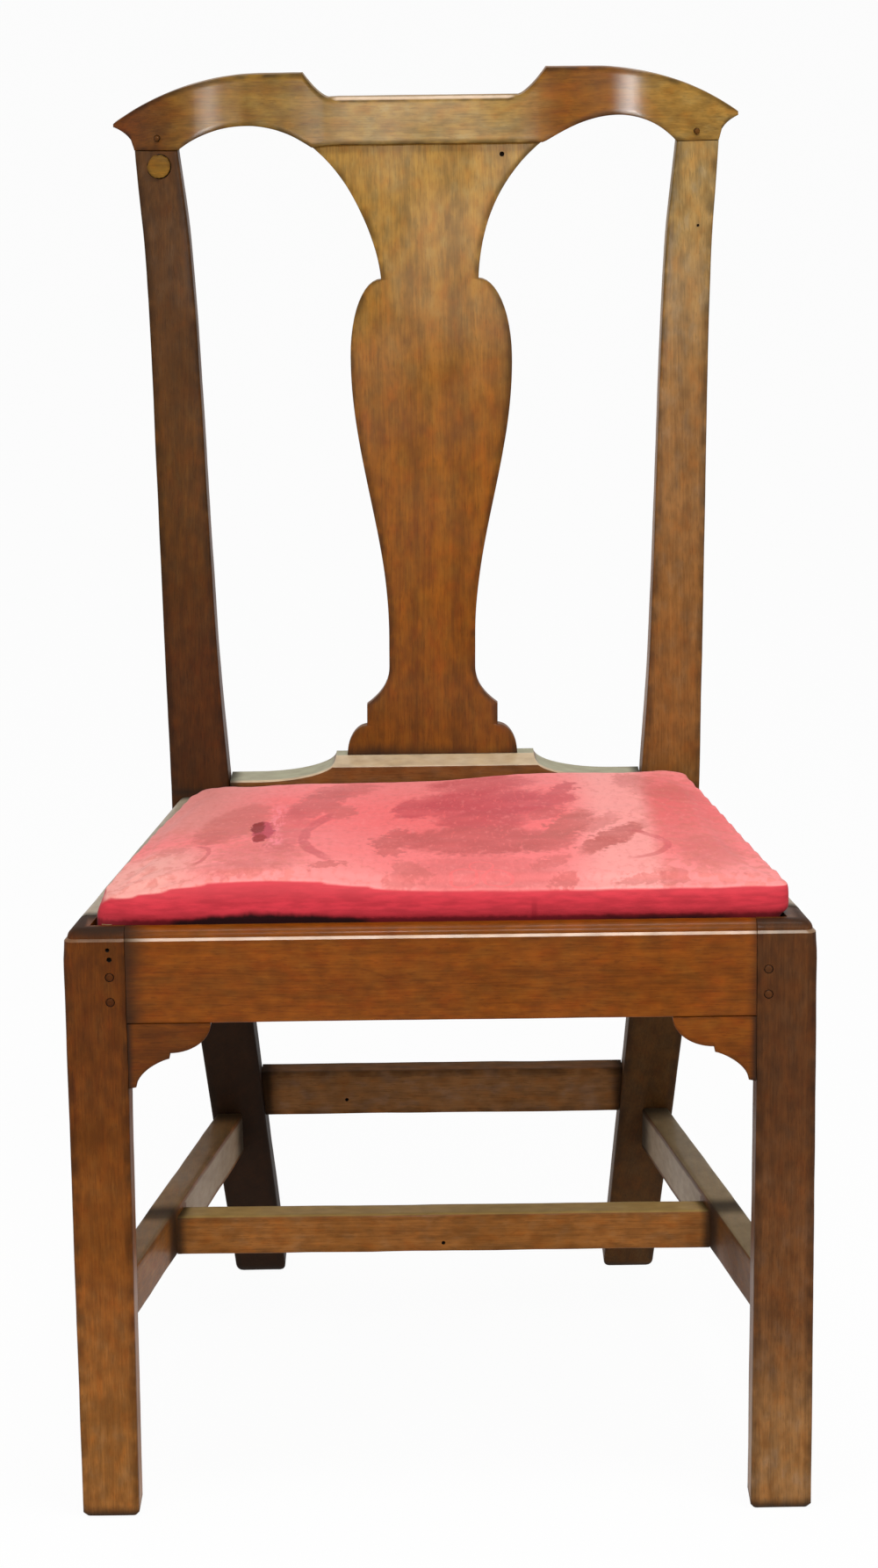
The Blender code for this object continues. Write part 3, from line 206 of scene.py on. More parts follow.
class ChairColours(bpy.types.PropertyGroup):
    """Colours of the finishes."""

    splat: colour_property("Splat", "Wood of the splat, at its foot", (0.162, 0.050, 0.0025))
    crest: colour_property("Crest", "Wood of the crest rail, right of its middle", (0.184, 0.068, 0.007))
    left_post: colour_property("Left post", "Dark wood of the left post", (0.066, 0.020, 0.0030))
    right_post: colour_property("Right post", "Lighter wood of the right post", (0.198, 0.0785, 0.0152))
    rail: colour_property("Seat rails", "Warm wood of the seat rails", (0.190, 0.0485, 0.0025))
    shoe: colour_property("Shoe", "Wood of the shoe under the splat", (0.150, 0.062, 0.016))
    left_leg: colour_property("Left leg", "Red-brown wood of the left front leg", (0.133, 0.034, 0.0025))
    right_leg: colour_property("Right leg", "Brown wood of the right front leg", (0.091, 0.0288, 0.0055))
    stretcher: colour_property("Stretchers", "Worn wood of the stretchers", (0.290, 0.108, 0.0225))
    rear_stretcher: colour_property(
        "Rear stretcher", "Duller wood of the rear stretcher", (0.236, 0.105, 0.037))
    inner: colour_property("Inner wood", "Bare wood of the blocks and seat frame", (0.330, 0.215, 0.110))
    plug: colour_property("Plug", "Light wood of the plug", (0.190, 0.092, 0.011))
    # The grime colour is also painted shade: under the seat on the rear posts and inside the holes
    grime: colour_property("Grime", "Old dirt in the joints", (0.014, 0.009, 0.006))
    ground: colour_property("Damask ground", "Faded ground of the seat cover", (0.915, 0.160, 0.162))
    figure: colour_property("Damask figure", "Crimson leaves woven in the seat cover", (0.540, 0.060, 0.076))
    faded: colour_property("Faded figure", "Leaves that have faded to brown", (0.520, 0.105, 0.090))
    band: colour_property("Damask band", "Unfaded sides of the seat cover", (0.530, 0.033, 0.049))
    linen: colour_property("Linen", "Undyed base cloth and webbing", (0.480, 0.380, 0.245))


def sizes():
    return bpy.context.scene.chair_sizes


def colours():
    return bpy.context.scene.chair_colours


# Numbers and lines

def mix(a, b, t):
    return a + (b - a) * t


def steps(start, end, count):
    """Evenly spaced values from start to end, both included."""
    return [mix(start, end, i / count) for i in range(count + 1)]


def run(start, end, pitch, near=(0.0015, 0.004, 0.008)):
    """Places along a piece about a pitch apart, closer together at both ends."""
    ends = [math.copysign(step, end - start) for step in near]
    inner = steps(start + ends[-1], end - ends[-1], max(1, round(abs(end - start) / pitch)))
    first = [start] + [start + step for step in ends[:-1]]
    return first + inner + [end - step for step in ends[-2::-1]] + [end]


def ease(stops, at):
    """The value at a place on a smooth line through (place, value) stops, with no overshoot."""
    places = [stop[0] for stop in stops]
    values = [stop[1] for stop in stops]
    slopes = [(values[i + 1] - values[i]) / (places[i + 1] - places[i]) for i in range(len(stops) - 1)]
    tangents = [slopes[0]]
    for a, b in zip(slopes, slopes[1:]):
        tangents.append(2 * a * b / (a + b) if a * b > 0 else 0.0)
    tangents.append(slopes[-1])
    i = max(k for k in range(len(slopes)) if k == 0 or places[k] <= at)
    length = places[i + 1] - places[i]
    t = (at - places[i]) / length
    return (values[i] * (1 + 2 * t) * (1 - t) ** 2 + tangents[i] * length * t * (1 - t) ** 2
            + values[i + 1] * t * t * (3 - 2 * t) + tangents[i + 1] * length * t * t * (t - 1))


def blend(low, high, at):
    """0 below low, 1 above high and smooth between them."""
    t = min(1.0, max(0.0, (at - low) / (high - low)))
    return t * t * (3 - 2 * t)


def soil(at, joints, reach=0.014):
    """How much dirt a place has from the joints near it."""
    return max([0.0] + [1 - abs(at - joint) / reach for joint in joints])


def side_of(x):
    return -1 if x < 0 else 1


def rail_outer(depth):
    """Half-width over the side rails."""
    return mix(HALF_FRONT, HALF_REAR, depth / SEAT_DEPTH)


def seat_half(depth):
    """Half-width of the drop-in seat."""
    return rail_outer(depth) - SEAT_INSET


def back_lean(z):
    """How far the back lies behind the seat at a height above the rails."""
    rise = (z - RAIL_TOP) / (CREST_JOINT - RAIL_TOP)
    return BACK_RAKE * rise * mix(1.0, rise, BACK_CURVE)


def post_front(z):
    """Depth of the rear posts' front faces."""
    if z < RAIL_BOTTOM:
        return SEAT_DEPTH + LEG_RAKE * (1 - z / RAIL_BOTTOM) ** LEG_SWEEP
    return SEAT_DEPTH + back_lean(max(z, RAIL_TOP))


def post_value(z, values):
    """A post's size at a height: straight below the seat, even at the rails, curved above them."""
    foot, seat, waist, flare, top = values
    if z < RAIL_BOTTOM:
        return mix(foot, seat, z / RAIL_BOTTOM)
    if z <= RAIL_TOP:
        return seat
    return ease([(RAIL_TOP, seat), (WAIST_HEIGHT, waist), (FLARE_HEIGHT, flare), (CREST_JOINT, top)], z)


def sway(z):
    """How far a place in the back stands to the side."""
    return -SWAY * blend(RAIL_BOTTOM - 0.1, RAIL_TOP, z)


def post_outer(z):
    return post_value(z, POST_SPREADS) / 2


def post_inner(z):
    return post_outer(z) - post_value(z, POST_WIDTHS)


def post_thickness(z):
    foot, seat, top = POST_THICKNESS
    if z < RAIL_BOTTOM:
        return mix(foot, seat, z / RAIL_BOTTOM)
    return mix(seat, top, max(0.0, z - RAIL_TOP) / (CREST_JOINT - RAIL_TOP))


# Meshes

def corner_ring(corners, radii, flank=0.005, arc=4):
    """A closed outline with rounded corners, as (u, v, edge) points, edge 1 on the roundings."""
    points = []
    count = len(corners)
    for i, radius in enumerate(radii):
        corner = Vector(corners[i])
        before = Vector(corners[i - 1]) - corner
        after = Vector(corners[(i + 1) % count]) - corner
        half = before.angle(after) / 2
        reach = radius / math.tan(half)
        limit = 0.45 * min(before.length, after.length)
        if reach > limit:
            radius *= limit / reach
            reach = limit
        before_way = before.normalized()
        after_way = after.normalized()
        centre = corner + (before_way + after_way).normalized() * radius / math.sin(half)
        first = corner + before_way * reach - centre
        last = corner + after_way * reach - centre
        points.append((*(corner + before_way * min(reach + flank, 0.48 * before.length)), 0.0))
        points += [(*(centre + first.slerp(last, t).normalized() * radius), 1.0) for t in steps(0, 1, arc)]
        points.append((*(corner + after_way * min(reach + flank, 0.48 * after.length)), 0.0))
    return points


def shell(name, points, faces, values=None):
    """A mesh object from points given as x, depth and height, with numbers stored on its points."""
    mesh = bpy.data.meshes.new(name)
    mesh.from_pydata([(x, FRONT + depth, z) for x, depth, z in points], [], faces)
    for key, numbers in (values or {}).items():
        mesh.attributes.new(key, "FLOAT", "POINT").data.foreach_set("value", numbers)
    shape = bmesh.new()
    shape.from_mesh(mesh)
    bmesh.ops.recalc_face_normals(shape, faces=shape.faces)
    shape.to_mesh(mesh)
    shape.free()
    piece = bpy.data.objects.new(name, mesh)
    bpy.context.scene.collection.objects.link(piece)
    return piece


def loft(name, rings, grime=None):
    """Skin a run of rings of (x, depth, z, edge) points and close both ends."""
    count = len(rings[0])
    points = [point for ring in rings for point in ring]
    last = len(points) - count
    faces = [tuple(range(count)), tuple(range(last, last + count))]
    for start in range(0, last, count):
        for i in range(count):
            j = (i + 1) % count
            faces.append((start + i, start + j, start + count + j, start + count + i))
    dirt = [value for value in (grime or [0.0] * len(rings)) for _ in range(count)]
    piece = shell(name, [point[:3] for point in points], faces,
                  {"edge": [point[3] for point in points], "grime": dirt})
    smooth(piece)
    return piece


def smooth(piece, angle=SHARP):
    piece.data.shade_smooth()
    piece.data.set_sharp_from_angle(angle=angle)


def weather(piece, seed, amount=None):
    """Let the faces and edges stray a little, as hand-planed ones do."""
    amount = sizes().wobble if amount is None else amount
    shift = Vector((seed * 3.1, seed * 1.7, seed * 2.3))
    for vertex in piece.data.vertices:
        slow = noise.noise(vertex.co * 22 + shift)
        quick = noise.noise(vertex.co * 90 + shift)
        vertex.co += vertex.normal * amount * (slow + 0.4 * quick)


def upright(rings_at, heights):
    """Rings of (x, depth, z, edge) from outlines in plan at each height."""
    return [[(x, depth, z, edge) for x, depth, edge in rings_at(z)] for z in heights]


def prism_faces(count):
    """Faces between two outlines of count points, with both ends closed."""
    sides = [(i, (i + 1) % count, count + (i + 1) % count, count + i) for i in range(count)]
    return [tuple(range(count)), tuple(range(count, 2 * count))] + sides


def round_ring(centre, axis, radii):
    """Points of a ring round an axis, one for each radius."""
    side = axis.orthogonal().normalized()
    other = axis.cross(side)
    points = []
    for i, radius in enumerate(radii):
        angle = 2 * math.pi * i / len(radii)
        points.append(centre + side * radius * math.cos(angle) + other * radius * math.sin(angle))
    return points


def applied(piece):
    """Give a piece the mesh that its modifiers make, and drop them."""
    graph = bpy.context.evaluated_depsgraph_get()
    mesh = bpy.data.meshes.new_from_object(piece.evaluated_get(graph))
    piece.modifiers.clear()
    piece.data = mesh


def cut(piece, tool):
    """Cut a tool's shape out of a piece."""
    modifier = piece.modifiers.new("cut", "BOOLEAN")
    modifier.operation = "DIFFERENCE"
    modifier.object = tool
    modifier.material_mode = "TRANSFER"
    applied(piece)
    bpy.data.objects.remove(tool)


def bore(piece, places, sides=14):
    """Drill round holes, each given as its start, its end and a diameter, painted dark inside as shade."""
    for start, end, diameter in places:
        ends = [Vector(start), Vector(end)]
        axis = (ends[1] - ends[0]).normalized()
        points = [point for place in ends for point in round_ring(place, axis, [diameter / 2] * sides)]
        tool = shell("drill", points, prism_faces(sides))
        tool.data.materials.append(painted_hole_shade())
        cut(piece, tool)
    smooth(piece)


def settle(piece, body, material, node):
    """Put a finish on a piece, set it on its body and let it stand for its solid."""
    if not piece.data.materials:
        piece.data.materials.append(material)
    elif piece.data.materials[0] is None:
        piece.data.materials[0] = material
    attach(piece, body)
    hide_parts(node)


def stand(piece, node, material):
    """Name a wooden piece for its solid and settle it on the chair's frame."""
    piece.name = node + "_wood"
    settle(piece, "chair_frame", material, node)


# Shaders

class Wire:
    """A socket in a node tree. Arithmetic on wires adds Math nodes, and node() adds any other."""

    def __init__(self, socket):
        self.socket = socket
        self.tree = socket.id_data

    def node(self, kind, settings=None, values=None, output=0):
        """Add a node: first its settings, then the values or wires of its sockets."""
        made = self.tree.nodes.new(kind)
        for key, value in (settings or {}).items():
            setattr(made, key, value)
        for key, value in (values or {}).items():
            if isinstance(value, Wire):
                self.tree.links.new(value.socket, made.inputs[key])
            else:
                made.inputs[key].default_value = value
        return Wire(made.outputs[output])

    def out(self, name):
        """Another output of the same node."""
        return Wire(self.socket.node.outputs[name])

    def math(self, operation, *others):
        return self.node("ShaderNodeMath", {"operation": operation}, dict(enumerate((self, *others))))

    def __add__(self, other):
        return self.math("ADD", other)

    __radd__ = __add__

    def __mul__(self, other):
        return self.math("MULTIPLY", other)

    __rmul__ = __mul__

    def __sub__(self, other):
        return self.math("SUBTRACT", other)

    def __rsub__(self, other):
        return self.node("ShaderNodeMath", {"operation": "SUBTRACT"}, {0: other, 1: self})

    def __abs__(self):
        return self.math("ABSOLUTE")


def ramp(wire, low, high, most=1.0):
    """0 below low, most above high and smooth between them; low may be the larger."""
    return wire.node("ShaderNodeMapRange", {"interpolation_type": "SMOOTHSTEP"},
                     {"Value": wire, "From Min": low, "From Max": high, "To Max": most})


def mixed(start, first, second, factor, how="MIX"):
    """One colour over another."""
    return start.node("ShaderNodeMix", {"data_type": "RGBA", "blend_type": how},
                      {0: factor, 6: first, 7: second}, 2)


def stretched(vector, scale, shift=(0.0, 0.0, 0.0)):
    return vector.node("ShaderNodeVectorMath", {"operation": "MULTIPLY_ADD"}, {0: vector, 1: scale, 2: shift})


def clouds(vector, scale, detail=2.0, shift=(0.0, 0.0, 0.0)):
    """Noise between 0 and 1, drawn out by a scale along each axis."""
    return vector.node("ShaderNodeTexNoise", None,
                       {"Vector": stretched(vector, scale, shift), "Scale": 1.0, "Detail": detail})


def object_place(start):
    return start.node("ShaderNodeTexCoord", output="Object")


def split(vector, axis="X"):
    """One of a vector's numbers; out() gives the others."""
    return vector.node("ShaderNodeSeparateXYZ", None, {"Vector": vector}, axis)


def joined(start, x, y, z=0.0):
    return start.node("ShaderNodeCombineXYZ", None, {"X": x, "Y": y, "Z": z})


def facing_up(start):
    """How far a face looks up, 1 where it is level."""
    return split(start.node("ShaderNodeNewGeometry", output="Normal"), "Z")


def bumped(start, height, strength, distance):
    return start.node("ShaderNodeBump", None, {"Strength": strength, "Distance": distance, "Height": height})


def along(wire, stops):
    """A colour that changes smoothly through (place, colour) stops."""
    colour = rgb(stops[0][1])
    for (low, _), (high, after) in zip(stops, stops[1:]):
        colour = mixed(wire, colour, rgb(after), ramp(wire, low, high))
    return colour


def rgb(colour, bright=1.0):
    return (colour[0] * bright, colour[1] * bright, colour[2] * bright, 1.0)


def new_finish(name, **constants):
    """A material, its shader node and a wire to build on, with the sockets that stay the same."""
    material = bpy.data.materials.new(name)
    material.use_nodes = True
    shader = material.node_tree.nodes["Principled BSDF"]
    for key, value in constants.items():
        shader.inputs[key.replace("_", " ")].default_value = value
    return material, shader, Wire(shader.outputs["BSDF"])


def feed(shader, **wires):
    for key, wire in wires.items():
        wire.tree.links.new(wire.socket, shader.inputs[key.replace("_", " ")])


# Colours that the wood's colour is multiplied by, each with its place: heights, or x along the crest
PLAIN = (1.0, 1.0, 1.0)
# Front legs: lighter and whiter towards the foot, a painted reflection of the white floor
LEG_FLOOR_REFLECTION_TINTS = {
    "left": ((0.03, (2.3, 3.5, 10.0)), (0.20, (1.75, 2.05, 3.2)), (0.36, (0.94, 0.96, 1.0))),
    "right": ((0.03, (2.9, 4.3, 7.2)), (0.16, (1.5, 1.75, 2.5)), (0.32, (0.92, 0.93, 0.93))),
}
# Rear posts: lighter and paler towards the top, a painted sheen of the key lamp on the leaning back
POST_SHEEN_TINTS = {
    "left": ((0.50, PLAIN), (0.68, (1.32, 1.54, 1.22)), (0.90, (1.2, 1.6, 2.9))),
    "right": ((0.52, PLAIN), (0.70, (1.10, 1.285, 1.83)), (0.92, (1.44, 2.20, 3.6))),
}
# Splat: a little darker at its foot, lighter and paler towards the top, a painted sheen of the key lamp where
# it leans back more
SPLAT_SHEEN_TINTS = (
    (0.475, (0.92, 0.94, 0.97)), (0.57, (1.18, 1.20, 1.0)), (0.70, (1.25, 1.36, 1.5)),
    (0.92, (1.81, 3.09, 10.9)),
)
# Crest: lighter and paler across the middle, near the ridges and on the right ear, a painted sheen of the key
# lamp; the darker left ear is the wood's own colour
CREST_COLOUR_AND_SHEEN = (
    (-0.245, (0.58, 0.40, 0.30)), (-0.212, (0.56, 0.50, 0.58)), (-0.185, (0.95, 1.15, 1.3)),
    (-0.16, (1.06, 1.43, 1.65)), (-0.10, (1.04, 1.43, 1.6)), (-0.06, (1.57, 2.46, 5.6)),
    (0.06, (1.57, 2.46, 5.6)), (0.10, (0.92, 0.84, 0.28)), (0.145, (0.92, 0.86, 0.5)),
    (0.175, (1.35, 1.9, 3.3)), (0.24, (1.35, 1.95, 3.4)),
)
GRAIN_TURN = {"X": (0.0, -math.pi / 2, 0.0), "Y": (math.pi / 2, 0.0, 0.0), "Z": (0.0, 0.0, 0.0)}


def board_place(start, place, grain, lean, shift):
    """Place in a board whose grain runs along Z and sways a little."""
    across = split(place)
    height = across.out("Z")
    if lean:
        place = joined(start, across, across.out("Y") - height * lean, height)
    board = start.node("ShaderNodeMapping", None,
                       {"Vector": place, "Rotation": GRAIN_TURN[grain], "Location": shift})
    stray = clouds(board, (7, 7, 3.0), 1.0) - 0.5
    return board.node("ShaderNodeVectorMath", {"operation": "ADD"},
                      {0: board, 1: joined(start, stray * 0.006, stray * 0.005)})


def year_rings(board, shift):
    """Broad bands and fine lines round a pith beside the board."""
    pith = stretched(board, (1.0, 1.0, 0.01), (random.uniform(0.15, 0.3) - shift[0],
                                              random.uniform(0.02, 0.1) - shift[1], 0.0))
    radius = pith.node("ShaderNodeVectorMath", {"operation": "LENGTH"}, {0: pith}, "Value")
    return [radius.node("ShaderNodeTexNoise", {"noise_dimensions": "1D"},
                        {"W": radius * often, "Scale": 1.0, "Detail": detail})
            for often, detail in ((60, 1.0), (420, 2.0))]


def wood(name, colour, grain, seed, lean=0.0, tint=None, dust=None, rubbed=0.55, dark=0.62, blotches=0.3,
         polish=0.10, dull=0.44, gloss=0.16, line=1.0, shade=None, pale=None, handled=()):
    """Waxed old wood: bands, fibres, pores and mottling along the grain, with dirt and with painted light and
    shade.

    lean is how far the board leans back for each metre up, tint is an axis with (place, colour) stops that
    the colour is multiplied by, some of which paint a reflection or a sheen, dust is a share and a colour for
    faces that look up, dust with a painted sheen, rubbed is how bright the rounded edges are beside the
    faces, below 1 a painted shade, line is the shine of the rails' narrow slope, and shade is (low, high,
    share) for a painted shadow below a height. pale is a share and a colour for that slope and the faces
    marked like it, partly worn light and partly a painted highlight, and handled is (x, reach, amount) for
    places that hands have polished.
    """
    material, shader, start = new_finish(name, Specular_IOR_Level=0.08, Coat_Roughness=gloss,
                                         Coat_Tint=(1.0, 0.89, 0.70, 1.0))
    place = object_place(start)
    across = split(place)
    height = across.out("Z")
    random.seed(seed)
    shift = tuple(random.uniform(-3, 3) for _ in range(3))
    swayed = board_place(start, place, grain, lean, shift)
    broad, rings = year_rings(swayed, shift)
    fibre = clouds(swayed, (900, 900, 50), 2.0)
    pores = ramp(clouds(swayed, (800, 800, 130), 1.0, (7.0, 3.0, 1.0)), 0.58, 0.70)
    mottle = clouds(swayed, (130, 130, 72), 4.0)
    hue = clouds(swayed, (110, 110, 60), 4.0, (2.0, 5.0, 4.0))
    blotch = clouds(place, (11, 11, 11), 3.0, shift)
    tone = ramp(broad * 0.22 + rings * 0.16 + fibre * 0.30 + mottle * 0.46, 0.35, 0.81)
    body = mixed(start, rgb(colour, dark), rgb(colour, 1.34), tone)
    hues = along(hue, ((0.30, (1.03, 0.90, 0.72)), (0.5, PLAIN), (0.70, (0.98, 1.10, 1.5))))
    body = mixed(start, body, hues, 1.0, "MULTIPLY")
    body = mixed(start, body, rgb(colour, 0.42), pores * (0.14 + 0.28 * rings))
    body = mixed(start, body, rgb(colour, 0.45), ramp(blotch, 0.52, 0.74) * blotches)
    if tint:
        axis, stops = tint
        tints = along(across.out(axis) + (blotch - 0.5) * 0.03, stops)
        body = mixed(start, body, tints, 1.0, "MULTIPLY")
    raw = start.node("ShaderNodeAttribute", {"attribute_name": "edge"}, output="Fac")
    slope = ramp(raw, 1.2, 1.9)
    edge = ramp(raw, 0.0, 1.0) * (1 - slope)
    patchy = ramp(clouds(place, (60, 60, 60), 2.0), 0.25, 0.65)
    # Rounded edges darkened by rubbed: a painted shade along the outlines
    body = mixed(start, body, (rubbed, rubbed, rubbed, 1.0), edge * patchy, "MULTIPLY")
    # pale lightens the slope and the faces marked like it: partly worn light, partly a painted highlight
    # where they catch the lamps
    if pale:
        patches = (0.6 + 0.8 * (mottle - 0.3)).math("MINIMUM", 1.0)
        body = mixed(start, body, rgb(pale[1]), slope * patches * pale[0])
    # Faces that look up lightened towards the dust colour: dust, with a painted sheen where they reflect the
    # bright backdrop
    if dust:
        lying = ramp(facing_up(start), 0.45, 0.85) * (1 - slope * 0.75)
        body = mixed(start, body, rgb(dust[1]), lying * (0.7 + 0.6 * (mottle - 0.5)) * dust[0])
    dirt = start.node("ShaderNodeAttribute", {"attribute_name": "grime"}, output="Fac")
    dirt = ramp(dirt + blotch * 0.9 - 0.55, 0.10, 0.80)
    # shade adds a painted shadow below a height to the joints' dirt: from here the mask is dirt and painted
    # shade
    if shade:
        dirt = dirt.math("MAXIMUM", ramp(height + (blotch - 0.5) * 0.06, shade[1], shade[0]) * shade[2])
    body = mixed(start, body, rgb(colours().grime), dirt * 0.85)
    rough = dull + 0.14 * (fibre - 0.5) + 0.16 * (blotch - 0.4) + 0.18 * dirt
    relief = fibre * 0.5 - pores * 0.8 + rings * 0.3
    bump = bumped(start, relief, 0.18, 0.0004)
    shine = (1 - dirt) * (ramp(blotch, 0.75, 0.35) * polish + slope * (0.75 + 0.5 * (patchy - 0.5)) * line)
    for middle, reach, amount in handled:
        shine = shine + ramp(abs(across - middle), reach, 0.0, amount)
    feed(shader, Base_Color=body, Roughness=rough, Normal=bump, Coat_Weight=shine.math("MINIMUM", 1.0))
    return material


def painted_hole_shade():
    """Painted shade: the dark inside of nail holes and peg holes."""
    found = bpy.data.materials.get("hole_dark")
    if found:
        return found
    material, shader, start = new_finish("hole_dark", Roughness=0.9, Specular_IOR_Level=0.1)
    crumbs = clouds(object_place(start), (900, 900, 900))
    feed(shader, Base_Color=mixed(start, rgb(colours().grime, 0.7), rgb(colours().grime, 2.5), crumbs))
    return material


# Frame pieces

def moulding(z):
    """How far the rails' rounded top edge lies inside their faces at a height."""
    if z <= ARRIS:
        return 0.0
    if z <= LINE_TOP:
        return LINE_INSET * (z - ARRIS) / LINE_RISE
    rise = min(1.0, (z - LINE_TOP) / (RAIL_TOP - LINE_TOP))
    return LINE_INSET + (RAIL_TOP - LINE_TOP) * (1 - math.sqrt(1 - rise * rise))


def round_heights():
    """Heights over the rails' rounded top edge, closer together at its top."""
    return [LINE_TOP + (RAIL_TOP - LINE_TOP) * math.sin(a) for a in steps(0.04, math.pi / 2, 8)]


def front_leg(side):
    """A square leg whose outer face follows the side rail, moulded round its top."""
    inner = HALF_FRONT - LEG
    worn = sizes().worn_edge
    outer_foot, outer_top, inner_foot, inner_top = LEG_EXTRA[side]

    def outline(z):
        foot = max(0.0, 1 - z / FOOT_BEVEL_RISE) * FOOT_BEVEL
        rise = min(1.0, z / (RAIL_BOTTOM - 0.06))
        chamfer = mix(LEG_CHAMFER, LEG_CHAMFER_TOP[side], blend(RAIL_BOTTOM - 0.032, RAIL_BOTTOM - 0.008, z))
        inset = foot + moulding(z)
        wide = mix(outer_foot, outer_top, rise) - inset
        front = inset
        back = LEG - foot
        low = inner + foot - mix(inner_foot, inner_top, rise)
        plan = [(low, front), (rail_outer(front) + wide, front), (rail_outer(back) + wide, back),
                (low + chamfer, back), (low, back - chamfer)]
        joint = mix(worn, 0.0004, blend(RAIL_BOTTOM - 0.05, RAIL_BOTTOM - 0.04, z))
        corner = mix(worn * 1.2, 0.0060, blend(ARRIS - 0.016, ARRIS, z))
        ring = corner_ring(plan, [joint, corner, worn, 0.001, 0.001])
        # The moulding's slope is marked 2: a shine in the coat, and a painted highlight from pale
        line = ARRIS - 0.0001 < z < LINE_TOP + 0.0001
        return [(side * x, depth, 2.0 if line else edge * (z < ARRIS)) for x, depth, edge in ring]

    heights = [0.0, 0.0008, 0.0018, FOOT_BEVEL_RISE] + steps(0.01, RAIL_BOTTOM - 0.035, 26)
    heights += steps(RAIL_BOTTOM - 0.032, RAIL_BOTTOM, 8) + steps(RAIL_BOTTOM, ARRIS - 0.0003, 10)[1:]
    heights += steps(ARRIS, LINE_TOP, 3) + round_heights()
    dirt = [max(soil(z, [0.0], 0.012), 0.85 * soil(z, [RAIL_TOP], 0.012)) for z in heights]
    return loft("front_leg", upright(outline, heights), dirt)


def seat_well():
    """The recess for the drop-in seat."""
    back = SEAT_DEPTH + SIDE_LIP
    plan = [(side * (rail_outer(d) - SIDE_LIP), d)
            for d, side in ((FRONT_LIP, -1), (FRONT_LIP, 1), (back, 1), (back, -1))]
    points = [(x, d, z) for z in (LEDGE, RAIL_TOP + 0.01) for x, d in plan]
    return shell("seat_well", points, prism_faces(4))


def rear_post(side):
    """Back leg and back post in one piece: raked foot, upright at the rails, leaning above."""
    worn = sizes().worn_edge

    def outline(z):
        foot = REAR_FOOT_ROUND * (1 - math.sqrt(1 - max(0.0, 1 - z / REAR_FOOT_RISE) ** 2))
        top = blend(CREST_JOINT - 0.12, CREST_JOINT, z)
        front = post_front(z) + foot
        back = post_front(z) + post_thickness(z) - foot
        outer = post_outer(z) - foot + POST_FLARE[side] * top
        inner = post_inner(z) + foot
        bow_out = top * crest_bow(side * outer)
        bow_in = top * crest_bow(side * inner)
        plan = [(outer, front + bow_out), (inner, front + bow_in),
                (inner, back + bow_in), (outer, back + bow_out)]
        ring = corner_ring(plan, [worn, worn, worn * 1.4, worn * 1.4])
        return [(side * x + sway(z), depth, edge) for x, depth, edge in ring]

    heights = [0.0, 0.0003, 0.001, 0.002, 0.0035, 0.005, REAR_FOOT_RISE] + steps(0.012, RAIL_BOTTOM, 30)
    heights += steps(RAIL_BOTTOM, RAIL_TOP, 6)[1:]
    heights += run(RAIL_TOP, CREST_JOINT, 0.011)[1:]
    dirt = [max(soil(z, [0.0], 0.02), 0.6 * soil(z, [RAIL_TOP + 0.004], 0.010)) for z in heights]
    if side < 0:
        heights = [z - CREST_TILT * blend(CREST_JOINT - 0.05, CREST_JOINT, z) for z in heights]
    return loft("rear_post", upright(outline, heights), dirt)


def rail_profile(lip, thickness):
    """Outline of a rail's section as (inset, z, edge), with a narrow slope and a round along its top."""
    crisp = sizes().crisp_edge
    ring = [(0.0, ARRIS - 0.004, 0.0), (0.0, ARRIS - 0.0003, 0.0)]
    # The slope is marked 2: a shine in the coat, and a painted highlight from pale
    ring += [(moulding(z), z, 2.0) for z in steps(ARRIS, LINE_TOP, 3)]
    ring += [(moulding(z), z, 0.0) for z in round_heights()]
    rest = corner_ring([(moulding(RAIL_TOP), RAIL_TOP), (lip, RAIL_TOP), (lip, LEDGE), (thickness, LEDGE),
                        (thickness, RAIL_BOTTOM), (0.0, RAIL_BOTTOM), (0.0, ARRIS - 0.006)],
                       [0.0001, crisp, 0.0003, crisp, crisp, 0.0018, 0.0001], 0.002, 3)
    ring += [(inset, z, 0.0) for inset, z, _ in rest[6:-6]]
    return ring


def front_seat_rail():
    half = HALF_FRONT - LEG - GAP
    ring = rail_profile(FRONT_LIP, FRONT_RAIL_THICKNESS)
    stations = run(LEG_EXTRA[-1][3] - half, half, 0.014)
    dirt = [max(soil(x, [-half], 0.030), 0.7 * soil(x, [half], 0.012)) for x in stations]
    return loft("front_seat_rail", [[(x, d, z, edge) for d, z, edge in ring] for x in stations], dirt)


def side_seat_rail(side):
    ring = rail_profile(SIDE_LIP, SIDE_RAIL_THICKNESS)
    stations = run(LEG + GAP, SEAT_DEPTH - GAP, 0.014)
    rings = []
    for d in stations:
        outer = rail_outer(d) + LEG_EXTRA[side][1] * (1 - d / SEAT_DEPTH)
        rings.append([(side * (outer - inset), d, z, edge) for inset, z, edge in ring])
    return loft("side_seat_rail", rings, [soil(d, [LEG, SEAT_DEPTH], 0.02) for d in stations])


def bar(name, rings_at, stations, joints, reach=0.014):
    """A bar skinned along its length from the ring at each station."""
    return loft(name, [rings_at(s) for s in stations], [soil(s, joints, reach) for s in stations])


def rear_seat_rail():
    half = HALF_REAR - POST_WIDTHS[1] - GAP
    crisp = sizes().crisp_edge
    box = [(SEAT_DEPTH, RAIL_BOTTOM), (SEAT_DEPTH, LEDGE),
           (REAR_RAIL_BACK, LEDGE), (REAR_RAIL_BACK, RAIL_BOTTOM)]
    ring = corner_ring(box, [0.0015, crisp, crisp, 0.0015])

    def outline(x):
        return [(x + sway(z), d, z, edge) for d, z, edge in ring]

    return bar("rear_seat_rail", outline, run(-half, half, 0.02), [-half, half])


